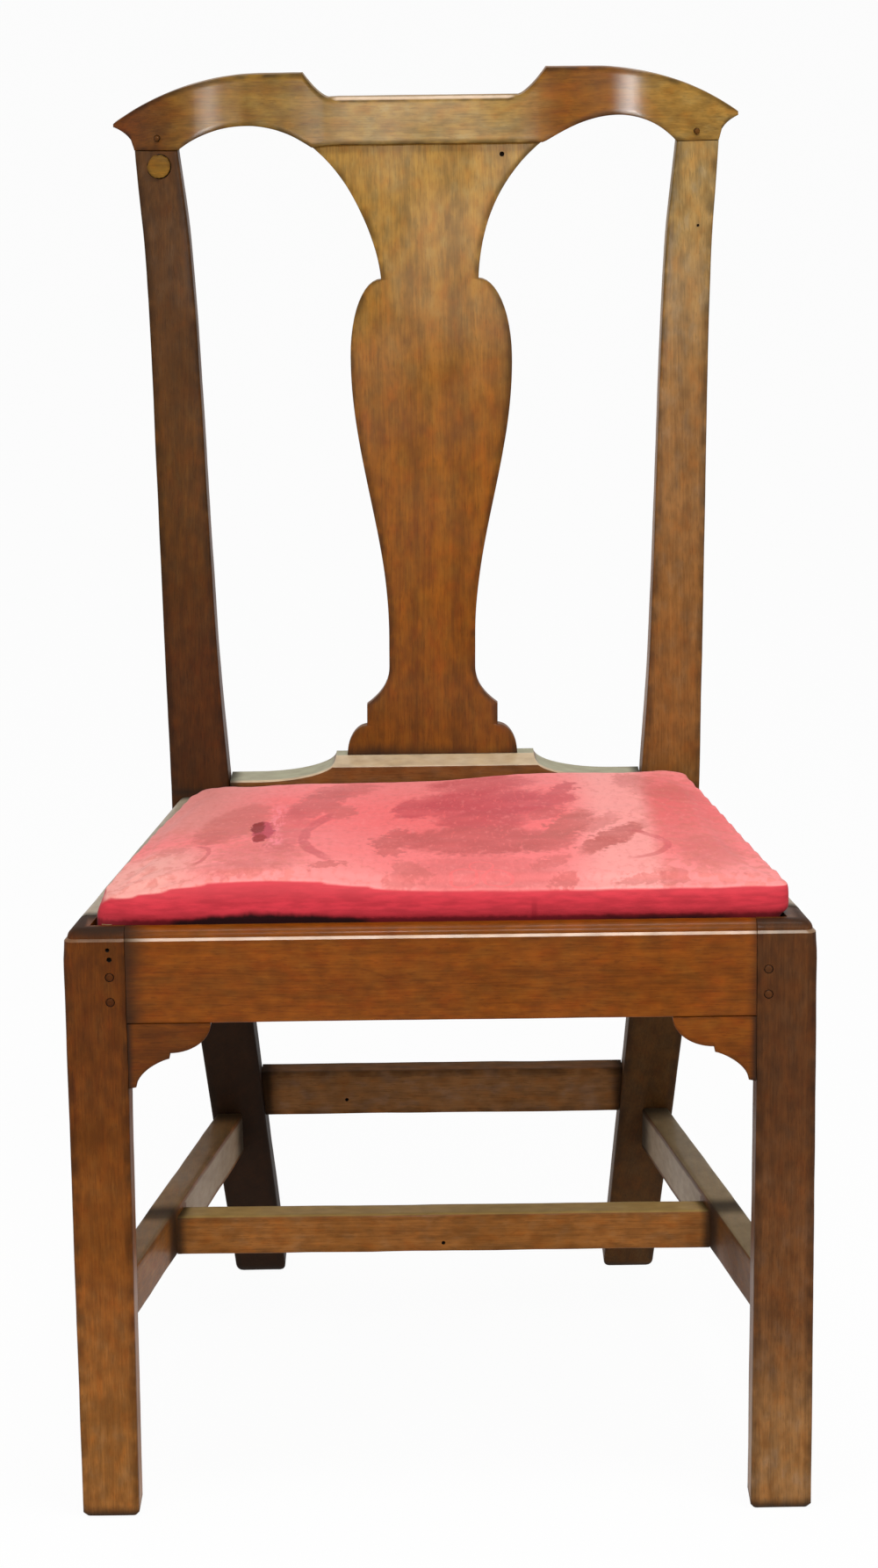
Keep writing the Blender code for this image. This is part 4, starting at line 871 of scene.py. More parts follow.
def bracket_line():
    """Underside of a bracket: a round, an upright step and a hollow, as (x, z) from tip to leg."""
    leg_face = HALF_FRONT - LEG - GAP
    tip = leg_face - BRACKET_WIDTH
    top = RAIL_BOTTOM - GAP
    middle = tip + BRACKET_WIDTH / 2
    drop = (BRACKET_HEIGHT - BRACKET_STEP) / 2
    line = [(middle - (middle - tip) * math.cos(a), top - drop * math.sin(a))
            for a in steps(0.05, math.pi / 2, 14)]
    low = top - BRACKET_HEIGHT
    reach = leg_face - BRACKET_BLUNT - middle - 0.0004
    line += [(middle + 0.0004 + reach * math.cos(a) ** 1.6, low + drop * math.sin(a))
             for a in steps(math.pi / 2 - 0.001, 0.05, 14)]
    line.append((leg_face, low))
    return line, top


def front_bracket(side):
    line, top = bracket_line()
    rings = []
    for x, z in line:
        box = [(0.0002, z), (0.0002, top), (BRACKET_THICKNESS, top), (BRACKET_THICKNESS, z)]
        ring = corner_ring(box, [0.0012, 0.0003, 0.0003, 0.0012], 0.003)
        rings.append([(side * (x - LEG_EXTRA[side][3]), d, height, edge) for d, height, edge in ring])
    dirt = [soil(x, [HALF_FRONT - LEG], 0.008) for x, _ in line]
    return loft("front_bracket", rings, dirt)


def crest_top(x):
    """Height of the crest's top edge."""
    side = side_of(x)
    inner = STEP_INNER[side]
    outer = STEP_OUTER[side]
    x = abs(x)
    if x <= inner:
        return CREST_JOINT + CREST_DIP
    if x < outer:
        return CREST_JOINT + mix(CREST_DIP, CREST_RISE, ((x - inner) / (outer - inner)) ** 1.42)
    fall = max(0.0, x - SHOULDER_FLAT)
    return CREST_JOINT + CREST_RISE - SHOULDER_RADIUS + math.sqrt(SHOULDER_RADIUS ** 2 - fall ** 2)


def crest_bottom(x):
    """Height of the crest's underside: level at the joints, arched between them, rising at the ears."""
    side = side_of(x)
    outer = POST_TOP_OUTER[side]
    base = CREST_JOINT + GAP
    x = abs(x)
    if SPLAT_TOP_HALF < x < POST_TOP_INNER:
        rise = ARCH_RISE[side]
        half = (POST_TOP_INNER - SPLAT_TOP_HALF) / 2
        radius = (half ** 2 + rise ** 2) / (2 * rise)
        share = ((x - SPLAT_TOP_HALF) / (2 * half)) ** ARCH_SKEW[side]
        return base + rise - radius + math.sqrt(radius ** 2 - (half * (2 * share - 1)) ** 2)
    if x > outer:
        return base + math.sqrt(EAR_RADIUS ** 2 - (EAR_RADIUS - x + outer) ** 2) * EAR_FLATTEN[side]
    return base


def crest_bow(x):
    """How far the crest's front lies behind its ridges."""
    side = side_of(x)
    ridge = RIDGE[side]
    x = abs(x)
    hollow = sizes().crest_hollow * (1 - blend(0.072, ridge, x))
    tip = POST_TOP_OUTER[side] + EAR_REACH[side]
    return hollow + sizes().ear_sweep * (max(0.0, x - ridge) / (tip - ridge)) ** 1.6


def crest_rail():
    thick = sizes().crest_thickness
    rings = []
    for side in (-1, 1):
        outer = POST_TOP_OUTER[side]
        stations = steps(0.0, STEP_INNER[side], 9) + steps(STEP_INNER[side], STEP_OUTER[side], 12)[1:]
        stations += steps(STEP_OUTER[side], POST_TOP_INNER, 40)[1:] + steps(POST_TOP_INNER, outer, 8)[1:]
        stations += [outer + EAR_REACH[side] * (1 - (1 - t) ** 2) for t in steps(0.0, 1.0, 12)[1:]]
        half_rings = []
        for x in [side * station for station in stations]:
            low = crest_bottom(x)
            high = max(crest_top(x), low + 0.0012)
            front = SEAT_DEPTH + crest_bow(x)
            box = [(front + back_lean(low), low), (front + back_lean(high), high),
                   (front + back_lean(high) + thick, high), (front + back_lean(low) + thick, low)]
            ring = corner_ring(box, [0.0008, 0.0016, 0.003, 0.0015], 0.004)
            hang = CREST_TILT * blend(0.070, 0.100, -x)
            # The top edge over the dip is marked 2, for a painted highlight from pale where it catches the
            # light
            if abs(x) < STEP_INNER[side]:
                ring[8:13] = [(d, z, 2.0) for d, z, _ in ring[8:13]]
            half_rings.append([(x - SWAY, d, z - hang, edge) for d, z, edge in ring])
        rings = half_rings[:0:-1] if side < 0 else rings + half_rings
    return loft("crest_rail", rings)


def splat_half(z):
    """Half-width of the vase outline at a height."""
    if z >= NOTCH_HEIGHT:
        spread = SPLAT_TOP_HALF - NOTCH_HALF
        drop = CREST_JOINT - NOTCH_HEIGHT
        radius = (drop ** 2 + spread ** 2) / (2 * spread)
        fuller = 0.0022 * math.sin(math.pi * (z - NOTCH_HEIGHT) / drop)
        return NOTCH_HALF + radius - math.sqrt(radius ** 2 - (z - NOTCH_HEIGHT) ** 2) + fuller
    if z >= BELLY_HEIGHT:
        rise = (z - BELLY_HEIGHT) / (NOTCH_HEIGHT - BELLY_HEIGHT)
        return NOTCH_HALF + (BELLY_HALF - NOTCH_HALF) * math.sqrt(max(0.0, 1 - rise ** 2))
    if z >= COVE_TOP + WAIST_LENGTH:
        rise = (z - COVE_TOP - WAIST_LENGTH) / (BELLY_HEIGHT - COVE_TOP - WAIST_LENGTH)
        return mix(NECK_HALF, BELLY_HALF, 0.5 - 0.5 * math.cos(math.pi * rise))
    if z >= COVE_TOP:
        return NECK_HALF
    if z >= FILLET_HIGH:
        fall = (COVE_TOP - z) / (COVE_TOP - FILLET_HIGH)
        return FILLET_HALF - (FILLET_HALF - NECK_HALF) * (1 - fall ** 2.4)
    if z >= FILLET_LOW:
        return FILLET_HALF
    rise = (z - SHOE_LEVEL) / (FILLET_LOW - SHOE_LEVEL)
    return FILLET_HALF + (BASE_HALF - FILLET_HALF) * math.sqrt(max(0.0, 1 - rise ** 2))


def splat_front(z):
    """Depth of the splat's front face."""
    return post_front(z) + SPLAT_SETBACK - 0.0015 * (1 - blend(SHOE_TOP, COVE_TOP, z))


def splat_middle(z):
    """The splat's middle, which wanders from side to side as it was cut by hand."""
    return ease([(SHOE_LEVEL, -0.0040), (COVE_TOP, -0.0032), (BELLY_HEIGHT, -0.0008), (NOTCH_HEIGHT, -0.0012),
                 (CREST_JOINT - 0.04, -0.0036), (CREST_JOINT, -0.0034)], z)


def splat():
    quarter = steps(0, math.pi / 2, 12)
    heights = [SHOE_LEVEL + GAP + (FILLET_LOW - SHOE_LEVEL - GAP) * math.sin(a) for a in quarter]
    heights += [FILLET_LOW + 0.0001] + [COVE_TOP - (COVE_TOP - FILLET_HIGH) * math.cos(a) for a in quarter]
    heights += steps(COVE_TOP, COVE_TOP + WAIST_LENGTH, 3)[1:]
    heights += steps(COVE_TOP + WAIST_LENGTH, BELLY_HEIGHT, 34)[1:]
    heights += [BELLY_HEIGHT + (NOTCH_HEIGHT - BELLY_HEIGHT) * math.sin(a) for a in quarter[1:]]
    heights += steps(NOTCH_HEIGHT + 0.0001, CREST_JOINT - 0.003, 18) + [CREST_JOINT - 0.001, CREST_JOINT]
    crisp = sizes().crisp_edge

    def outline(z):
        half = splat_half(z)
        front = splat_front(z)
        back = front + SPLAT_THICKNESS
        left = splat_middle(z) - half
        right = splat_middle(z) + half
        return corner_ring([(left, front), (right, front), (right, back), (left, back)],
                           [crisp, crisp, crisp * 2.5, crisp * 2.5], 0.006)

    dirt = [0.75 * soil(z, [SHOE_LEVEL], 0.014) for z in heights]
    return loft("splat", upright(outline, heights), dirt)


def shoe():
    """Carries the foot of the splat: a raised middle with a chamfered edge, hollowed to the posts."""
    end = POST_SPREADS[1] / 2 - POST_WIDTHS[1] - GAP
    base = LEDGE + GAP
    middle = 0.5 * splat_middle(SHOE_LEVEL)
    profile = [(x, SHOE_LEVEL) for x in steps(0.0, SHOE_HALF, 8)]
    for a in steps(0, math.pi / 2, 16)[1:]:
        profile.append((SHOE_HALF + SHOE_COVE * (1 - math.cos(a)), SHOE_LEVEL - SHOE_FALL * math.sin(a)))
    profile += [(x, SHOE_LEVEL - SHOE_FALL) for x in steps(SHOE_HALF + SHOE_COVE, end, 5)[1:]]
    slope = (splat_front(SHOE_LEVEL) - SHOE_FRONT - GAP) / SHOE_CHAMFER
    rings = []
    dirt = []
    for x, top in [(-x, z) for x, z in profile[:0:-1]] + profile:
        fall = max(0.0008, top - SHOE_LEVEL + SHOE_CHAMFER)
        reach = SHOE_FRONT + fall * slope
        plan = [(SHOE_FRONT, base), (SHOE_FRONT, top - fall), (reach, top),
                (SHOE_BACK, top), (SHOE_BACK, base)]
        ring = corner_ring(plan, [0.0004, 0.0010, 0.0010, 0.0015, 0.001], 0.003)
        place = x + middle * (1 - blend(SHOE_HALF, end, abs(x))) - SWAY * blend(SHOE_HALF, end, abs(x))
        # The chamfer is marked 2: a shine in the coat, and a painted highlight from pale
        lowest = top - fall - 0.0002
        rings.append([(place, d, z, 2.0 if z > lowest and d < reach + 0.0002 else 0.0) for d, z, _ in ring])
        dirt.append(soil(abs(x), [end], 0.015))
    return loft("shoe", rings, dirt)


def side_stretcher_x(depth):
    """Half-width to the middle of the side stretchers at a depth."""
    half = SIDE_STRETCHER_THICKNESS / 2
    z = (STRETCHER_BOTTOM + SIDE_STRETCHER_TOP) / 2
    front = rail_outer(LEG) - STRETCHER_INSET - half
    rear = post_outer(z) - STRETCHER_INSET - half
    return mix(front, rear, (depth - LEG) / (post_front(z) - LEG))


def side_stretcher(side):
    half = SIDE_STRETCHER_THICKNESS / 2
    worn = sizes().worn_edge
    low_end = post_front(STRETCHER_BOTTOM) - GAP
    lean = post_front(STRETCHER_BOTTOM) - post_front(SIDE_STRETCHER_TOP)
    rise = SIDE_STRETCHER_TOP - STRETCHER_BOTTOM
    rings = []
    stations = run(0.0, 1.0, 0.035, (0.004, 0.010, 0.022))
    for t in stations:
        depth = mix(LEG + GAP, low_end, t)
        x = side_stretcher_x(depth)
        ring = corner_ring([(x - half, STRETCHER_BOTTOM), (x + half, STRETCHER_BOTTOM),
                            (x + half, SIDE_STRETCHER_TOP), (x - half, SIDE_STRETCHER_TOP)],
                           [worn * 0.7, worn * 0.7, worn, worn * 1.1], 0.004)
        # Behind the medial the inner face is marked 2, for a painted highlight from pale
        if depth > MEDIAL_BACK:
            ring[0] = (*ring[0][:2], 2.0)
            ring[-1] = (*ring[-1][:2], 2.0)
        rings.append([(side * u, depth - t * lean * (z - STRETCHER_BOTTOM) / rise, z, edge)
                      for u, z, edge in ring])
    middle = (MEDIAL_FRONT - LEG) / (low_end - LEG)
    dirt = [max(soil(t, [0.0], 0.05), soil(t, [1.0], 0.12), soil(t, [middle - 0.02], 0.07)) for t in stations]
    return loft("side_stretcher", rings, dirt)


def medial_stretcher():
    worn = sizes().worn_edge
    front = side_stretcher_x(MEDIAL_FRONT)
    back = side_stretcher_x(MEDIAL_BACK)
    reach = (back + front - SIDE_STRETCHER_THICKNESS) / 2 - GAP
    ring = corner_ring([(MEDIAL_FRONT, STRETCHER_BOTTOM), (MEDIAL_FRONT, MEDIAL_TOP),
                        (MEDIAL_BACK, MEDIAL_TOP), (MEDIAL_BACK, STRETCHER_BOTTOM)],
                       [worn * 0.7, worn * 1.2, worn, worn * 0.7], 0.004)
    slant = (front - back) / (MEDIAL_BACK - MEDIAL_FRONT)
    middle = (MEDIAL_FRONT + MEDIAL_BACK) / 2

    def outline(x):
        share = x / reach
        return [(x + share * slant * (middle - d), d, z, edge) for d, z, edge in ring]

    return bar("medial_stretcher", outline, run(-reach, reach, 0.016), [-reach, reach], 0.012)


def rear_stretcher():
    worn = sizes().worn_edge
    low = REAR_STRETCHER_BOTTOM
    high = REAR_STRETCHER_TOP
    ring = corner_ring([(REAR_STRETCHER_FRONT, low), (REAR_STRETCHER_FRONT, high),
                        (REAR_STRETCHER_BACK, high), (REAR_STRETCHER_BACK, low)],
                       [worn * 0.7, worn, worn, worn * 0.7], 0.004)
    reach = post_inner((low + high) / 2) - GAP

    def outline(x):
        return [(x / reach * (post_inner(z) - GAP) + sway(z), d, z, edge) for d, z, edge in ring]

    return bar("rear_stretcher", outline, run(-reach, reach, 0.016), [-reach, reach], 0.016)


# Pins

def node_line(node):
    """Middle of a pin's outer end, its inner end and its diameter, from its solid's box."""
    low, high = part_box(node)
    middle = (low + high) / 2
    size = high - low
    axis = max(range(3), key=lambda i: size[i])
    if node == "post_plug":
        axis = 1
    start = middle.copy()
    end = middle.copy()
    outward = -1 if axis == 1 else math.copysign(1, middle.x)
    start[axis] += outward * size[axis] / 2
    end[axis] -= outward * size[axis] / 2
    across = min(size[i] for i in range(3) if i != axis) * (1.15 if node == "post_plug" else 1.0)
    place = Vector((sway(middle.z) if middle.y - FRONT > 0.3 else 0.0, -FRONT, 0.0))
    return start + place, end + place, across


def pin(name, start, end, diameter, proud, seed, sides=16):
    """A whittled pin with a slightly domed head."""
    random.seed(seed)
    along = (end - start).normalized()
    wander = [random.uniform(0.93, 1.0) for _ in range(sides)]
    length = (end - start).length
    rings = []
    for depth, share in ((-proud, 0.30), (-proud * 0.8, 0.70), (0.0, 0.96), (0.001, 1.0), (length, 0.96)):
        ring = round_ring(start + along * depth, along, [diameter / 2 * share * uneven for uneven in wander])
        rings.append([(*point, 1.0 if share == 0.96 else 0.0) for point in ring])
    return loft(name, rings)


def pegs(stem, word):
    return stem + word + "_upper", stem + word + "_lower"


PINS_OF = {"front_leg_" + word: pegs("front_rail_peg_", word) + pegs("side_rail_front_peg_", word)
           for word in SIDES}
PINS_OF.update({"rear_post_" + word: pegs("side_rail_rear_peg_", word) for word in SIDES})
PINS_OF["rear_post_left"] += ("post_plug",)
PINS_OF["crest_rail"] = ("crest_peg_left", "crest_peg_right")
# Nail holes: x, depth of the face, height and diameter
NAIL_HOLES = {
    "front_leg_left": ((-0.2289, 0.0, 0.4197, 0.0030), (-0.2279, 0.0, 0.4128, 0.0036)),
    "rear_post_right": ((0.2088, post_front(0.8699), 0.8699, 0.0022),),
    "splat": ((0.0565, splat_front(0.9255), 0.9255, 0.0040),),
    "medial_stretcher": ((0.0, MEDIAL_FRONT, 0.1241, 0.003),),
    "rear_stretcher": ((-0.078, REAR_STRETCHER_FRONT, 0.1643, 0.003),),
}
PIN_HOLE_DEPTH = 0.006
NAIL_HOLE_DEPTH = 0.005
DRILL_LEAD = 0.004               # how far outside the wood a drill starts


def bore_for_pins(piece, node):
    """Holes for the pins that show in a piece."""
    places = []
    for name in PINS_OF[node]:
        start, end, across = node_line(name)
        way = (end - start).normalized()
        places.append((start - way * DRILL_LEAD, start + way * PIN_HOLE_DEPTH, across + 2 * GAP))
    bore(piece, places, 20)


def bore_for_nails(piece, node):
    """Old nail holes in a piece's front face."""
    if node in NAIL_HOLES:
        bore(piece, [((x, face - DRILL_LEAD, z), (x, face + NAIL_HOLE_DEPTH, z), diameter)
                     for x, face, z, diameter in NAIL_HOLES[node]])


# The drop-in seat

def seat_rim(x, depth):
    """Height of the seat's edge: lumpy along the front, lower at the left corners."""
    back = min(1.0, max(0.0, (depth - SEAT_FRONT) / (SEAT_BACK - SEAT_FRONT)))
    rim = mix(FRONT_EDGE_TOP, BACK_EDGE_TOP, back)
    front = max(0.0, 1 - back * 2.2)
    return rim + front * ease(FRONT_LUMPS, x) + back ** 1.5 * ease(BACK_LUMPS, x)


def seat_height(x, depth, crown):
    """Height of the stuffed top: rounded at its edges and crowned between them."""
    across = x / seat_half(depth)
    along = (2 * depth - SEAT_FRONT - SEAT_BACK) / (SEAT_BACK - SEAT_FRONT)
    return seat_rim(x, depth) + crown * (1 - across ** 4) * (1 - along ** 4)


def grid_places(low, high, close, pitch):
    """Places from low to high, closer together near both ends."""
    inner = steps(low + close[-1], high - close[-1], max(2, round((high - low) / pitch)))
    return [low + c for c in close[:-1]] + inner + [high - c for c in close[-2::-1]]


def layered(name, top, base, wide):
    """A closed pad from rows of points, wide in each row, over and under it."""
    count = len(top)
    deep = count // wide
    faces = []
    for row in range(deep - 1):
        for column in range(wide - 1):
            a = row * wide + column
            faces.append((a, a + 1, a + wide + 1, a + wide))
            faces.append((count + a, count + a + wide, count + a + wide + 1, count + a + 1))
    rim = list(range(wide)) + [row * wide + wide - 1 for row in range(1, deep)]
    rim += [count - 2 - i for i in range(wide - 1)] + [row * wide for row in range(deep - 2, 0, -1)]
    faces += [(a, b, count + b, count + a) for a, b in zip(rim, rim[1:] + rim[:1])]
    return shell(name, top + base, faces)


def pad(name, inset, bottom, drop, rounding=0.003):
    """A closed pad under the seat's top: straight sides, rounded top edges and rounded corners."""
    close = [0.0, 0.0004, 0.0014, 0.003, 0.005, 0.0075, 0.011]
    depths = grid_places(SEAT_FRONT + inset, SEAT_BACK - inset, close, 0.012)
    reach = 0.24
    shares = grid_places(-reach, reach, close, 0.012)
    top = []
    base = []
    for d in depths:
        half = seat_half(d) - inset
        for share in shares:
            x = half * share / reach
            side = half - abs(x)
            end = min(d - depths[0], depths[-1] - d)
            place = Vector((x, d))
            pull = Vector((max(0.0, SEAT_CORNER - side), max(0.0, SEAT_CORNER - end)))
            if pull.length > SEAT_CORNER:
                extra = pull * (1 - SEAT_CORNER / pull.length)
                place.x -= math.copysign(extra.x, x)
                place.y += extra.y if d < 0.2 else -extra.y
            near = min(1.0, min(side, end) / rounding)
            fall = rounding * (1 - math.sqrt(max(0.0, 1 - (1 - near) ** 2)))
            top.append((place.x, place.y, seat_height(x, d, sizes().crown) - drop - fall))
            base.append((place.x, place.y, bottom))
    return layered(name, top, base, len(shares))


CLOTH_SETTINGS = {"quality": 5, "mass": 0.3, "tension_stiffness": 12, "compression_stiffness": 12,
                  "bending_stiffness": 0.4, "use_pressure": True, "uniform_pressure_force": 4.0,
                  "vertex_group_mass": "held"}
CLOTH_FRAMES = 20


def stuffed(piece):
    """Press the cover out by its stuffing, with the part on the seat frame held."""
    group = piece.vertex_groups.new(name="held")
    for vertex in piece.data.vertices:
        grip = 1 - blend(SEAT_FRAME_TOP, SEAT_FRAME_TOP + 0.008, vertex.co.z)
        if grip > 0:
            group.add([vertex.index], grip, "REPLACE")
    before = [(vertex.co.copy(), vertex.normal.copy()) for vertex in piece.data.vertices]
    cloth = piece.modifiers.new("cloth", "CLOTH")
    for key, value in CLOTH_SETTINGS.items():
        setattr(cloth.settings, key, value)
    cloth.settings.effector_weights.gravity = 0.0
    cloth.point_cache.frame_start = 1
    cloth.point_cache.frame_end = CLOTH_FRAMES
    for number in range(1, CLOTH_FRAMES + 1):
        bpy.context.scene.frame_set(number)
    applied(piece)
    bpy.context.scene.frame_set(1)
    for vertex, (start, outward) in zip(piece.data.vertices, before):
        push = (vertex.co - start).dot(outward)
        vertex.co = start + outward * min(sizes().swell, max(0.0, push))


def frayed(x):
    """1 along the front where the cover has pulled up from the rail."""
    left = blend(-0.195, -0.140, x) * (1 - blend(-0.095, -0.035, x))
    right = 0.30 * blend(0.080, 0.120, x) * (1 - blend(0.190, 0.210, x))
    return max(left, right)


def tuck(x, depth, z):
    """How far the seat is drawn in at its left corners: to the right and back."""
    near = max(0.0, 1 - (x + seat_half(depth)) / 0.030) * blend(RAIL_TOP - 0.0004, RAIL_TOP + 0.004, z)
    front = near * max(0.0, 1 - (depth - SEAT_FRONT) / 0.034)
    rear = near * max(0.0, 1 - (SEAT_BACK - depth) / 0.040)
    return 0.0085 * front * blend(RAIL_TOP + 0.004, RAIL_TOP + 0.020, z) + 0.006 * rear, 0.0075 * front


def draped(x, y, z):
    """Where a point of the cover lies: lumpy on top, bulging over the rails and drawn in at the left."""
    depth = y - FRONT
    rise = blend(RAIL_TOP - 0.0004, RAIL_TOP + 0.004, z)
    lump = noise.noise(Vector((x * 30, y * 30, 4.0))) + 0.5 * noise.noise(Vector((x * 80, y * 80, 9.0)))
    half = seat_half(depth)
    near = max(0.0, 1 - (half - abs(x)) / EDGE_REACH)
    over = OVERHANG[side_of(x)] * rise
    wide = max(-half - over, min(half + over, x + math.copysign(over * near, x)))
    near = max(0.0, 1 - (depth - SEAT_FRONT) / EDGE_REACH)
    depth = max(SEAT_FRONT - FRONT_OVERHANG * rise, depth - FRONT_OVERHANG * rise * near)
    crease = frayed(x) * (1 - blend(0.001, 0.0065, z - RAIL_TOP)) * (z > RAIL_TOP - 0.002)
    right, back = tuck(x, depth, z)
    return Vector((wide + right, FRONT + min(SEAT_BACK, depth) + 0.0008 * crease * near + back,
                   max(z + 0.0006 * lump * rise, HEM_BOTTOM)))


def open_below(cover):
    """Leave the cover open under the seat, inside its hem."""
    shape = bmesh.new()
    shape.from_mesh(cover.data)
    hidden = []
    for face in shape.faces:
        place = face.calc_center_median()
        depth = place.y - FRONT
        inside = min(depth - SEAT_FRONT, SEAT_BACK - depth, seat_half(depth) - abs(place.x))
        if place.z < HEM_BOTTOM + 0.003 and inside > HEM_WIDTH:
            hidden.append(face)
    bmesh.ops.delete(shape, geom=hidden, context="FACES")
    shape.to_mesh(cover.data)
    shape.free()


def seat_cover():
    """The damask cover: over the stuffing, down the sides and turned under the seat frame."""
    cover = pad("seat_cover_damask", 0.0012, HEM_BOTTOM, 0.0015)
    remesh = cover.modifiers.new("remesh", "REMESH")
    remesh.mode = "VOXEL"
    remesh.voxel_size = sizes().voxel
    applied(cover)
    stuffed(cover)
    for vertex in cover.data.vertices:
        vertex.co = draped(*vertex.co)
    open_below(cover)
    cover.modifiers.new("smooth", "SUBSURF").levels = 1
    cover.modifiers["smooth"].render_levels = 1
    skin = cover.modifiers.new("skin", "SOLIDIFY")
    skin.thickness = 0.0011
    skin.offset = -1
    cover.data.shade_smooth()
    return cover


def strap(name, node, lengthwise, seed):
    """A woven strap that passes over and under those it crosses, a little slack between them."""
    low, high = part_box(node)
    along = 1 if lengthwise else 0
    across = 1 - along
    thick = 0.0015
    number = int(node[-1]) - 1
    rings = []
    stem = "web_crosswise_" if lengthwise else "web_lengthwise_"
    crossed = []
    for i in range(3):
        if (number + i) % 2 == (0 if lengthwise else 1):
            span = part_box(stem + str(i + 1))
            crossed.append((span[0][along], span[1][along]))
    for place in run(low[along], high[along], 0.006, (0.0005, 0.001)):
        lift = 0.0
        for start, end in crossed:
            climb = blend(start - 0.007, start - 0.001, place)
            lift = max(lift, climb * (1 - blend(end + 0.001, end + 0.007, place)))
        level = mix(low.z, high.z - thick, lift)
        slack = 0.00012 * noise.noise(Vector((place * 40, seed * 3.0, 0.0)))
        ring = []
        for u, v, edge in corner_ring([(low[across], 0.0), (high[across], 0.0), (high[across], thick),
                                       (low[across], thick)], [0.0006] * 4, 0.003, 3):
            fray = 0.0006 * noise.noise(Vector((place * 260, u * 300, seed))) * edge
            x, y = (u + fray, place) if lengthwise else (place, u + fray)
            ring.append((x, y - FRONT, level + v + slack, edge))
        rings.append(ring)
    return loft(name, rings)


def thin_cloth(name, node):
    """A thin cloth over the straps, with a slight random sag."""
    low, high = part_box(node)
    depths = steps(low.y - FRONT, high.y - FRONT, 36)
    inset = seat_half(depths[0]) - high.x
    columns = 44
    top = []
    base = []
    for d in depths:
        half = seat_half(d) - inset
        for x in steps(-half, half, columns):
            sag = 0.0001 * noise.noise(Vector((x * 50, d * 50, 2.0)))
            base.append((x, d, low.z + 0.0001 + sag))
            top.append((x, d, high.z - 0.0001 + sag))
    piece = layered(name, top, base, columns + 1)
    smooth(piece)
    return piece


# Fabrics

# The damask's leaves: middle, half-length, half-width, turn from the depth axis, strength and fading
FIGURE = (
    ((0.035, 0.255), 0.052, 0.060, 0, 0.92, 0.0), ((-0.020, 0.240), 0.036, 0.013, 0, 0.85, 0.0),
    ((0.034, 0.332), 0.034, 0.042, 0, 0.75, 0.1), ((0.096, 0.302), 0.022, 0.009, 15, 0.80, 0.1),
    ((0.088, 0.262), 0.026, 0.015, 30, 0.80, 0.1), ((0.032, 0.192), 0.034, 0.034, 0, 0.85, 0.2),
    ((0.028, 0.130), 0.046, 0.058, 0, 0.90, 0.6), ((-0.026, 0.152), 0.018, 0.012, -20, 0.80, 0.6),
    ((-0.036, 0.122), 0.020, 0.013, -10, 0.80, 0.7), ((-0.034, 0.094), 0.012, 0.009, 0, 0.70, 0.8),
    ((0.078, 0.124), 0.034, 0.022, 20, 0.75, 0.8), ((0.080, 0.212), 0.024, 0.012, 25, 0.70, 0.5),
    ((0.096, 0.176), 0.052, 0.014, 15, 0.90, 1.0), ((0.126, 0.136), 0.056, 0.013, 25, 0.95, 1.0),
    ((0.118, 0.180), 0.036, 0.009, 20, 0.50, 1.0), ((0.030, 0.038), 0.044, 0.056, 0, 0.42, 0.6),
    ((-0.018, 0.046), 0.024, 0.012, -20, 0.55, 1.0), ((-0.028, 0.024), 0.014, 0.012, 0, 0.50, 1.0),
    ((0.088, 0.028), 0.016, 0.010, 20, 0.60, 0.9), ((0.080, 0.066), 0.022, 0.010, 30, 0.50, 0.9),
    ((-0.090, 0.272), 0.060, 0.018, 14, 0.72, 0.6), ((-0.072, 0.322), 0.036, 0.024, 28, 0.60, 0.7),
    ((-0.072, 0.236), 0.024, 0.012, 0, 0.60, 0.8), ((-0.110, 0.170), 0.095, 0.015, 2, 0.48, 0.2),
    ((-0.150, 0.204), 0.080, 0.022, 10, 0.62, 1.0), ((-0.166, 0.160), 0.034, 0.014, 0, 0.42, 1.0),
    ((-0.126, 0.076), 0.044, 0.032, 0, 0.40, 0.9), ((-0.136, 0.040), 0.018, 0.034, 0, 0.40, 0.9),
    ((-0.078, 0.045), 0.016, 0.007, 60, 0.60, 0.8), ((0.184, 0.190), 0.150, 0.030, -4, 0.30, 1.0),
    ((0.150, 0.330), 0.030, 0.016, 0, 0.50, 1.0), ((0.176, 0.292), 0.026, 0.030, 0, 0.38, 1.0),
    ((0.142, 0.030), 0.022, 0.009, 70, 0.50, 1.0), ((0.166, 0.034), 0.018, 0.010, 10, 0.45, 1.0),
    ((0.196, 0.100), 0.050, 0.022, -6, 0.30, 1.0), ((-0.190, 0.116), 0.012, 0.012, 0, 0.45, 1.0),
)
# Its scrolls: middle, half-length, half-width, thickness, strength, and the side that is drawn
SCROLLS = (
    ((-0.067, 0.143), 0.085, 0.030, 0.16, 0.70, -1), ((0.126, 0.115), 0.042, 0.038, 0.10, 0.55, 1),
    ((-0.178, 0.088), 0.034, 0.015, 0.14, 0.60, 1), ((0.018, 0.034), 0.014, 0.010, 0.14, 0.6, 0),
    ((0.042, 0.034), 0.014, 0.010, 0.14, 0.6, 0), ((0.030, 0.056), 0.012, 0.008, 0.14, 0.6, 0),
)
# Its slit, a rim and two dark parts: middle, half-length, half-width and colour
TEARS = (
    ((-0.1275, 0.170), 0.034, 0.0075, (0.52, 0.050, 0.080)),
    ((-0.1318, 0.186), 0.022, 0.0046, (0.24, 0.001, 0.001)),
    ((-0.1292, 0.142), 0.019, 0.0046, (0.31, 0.001, 0.003)),
)


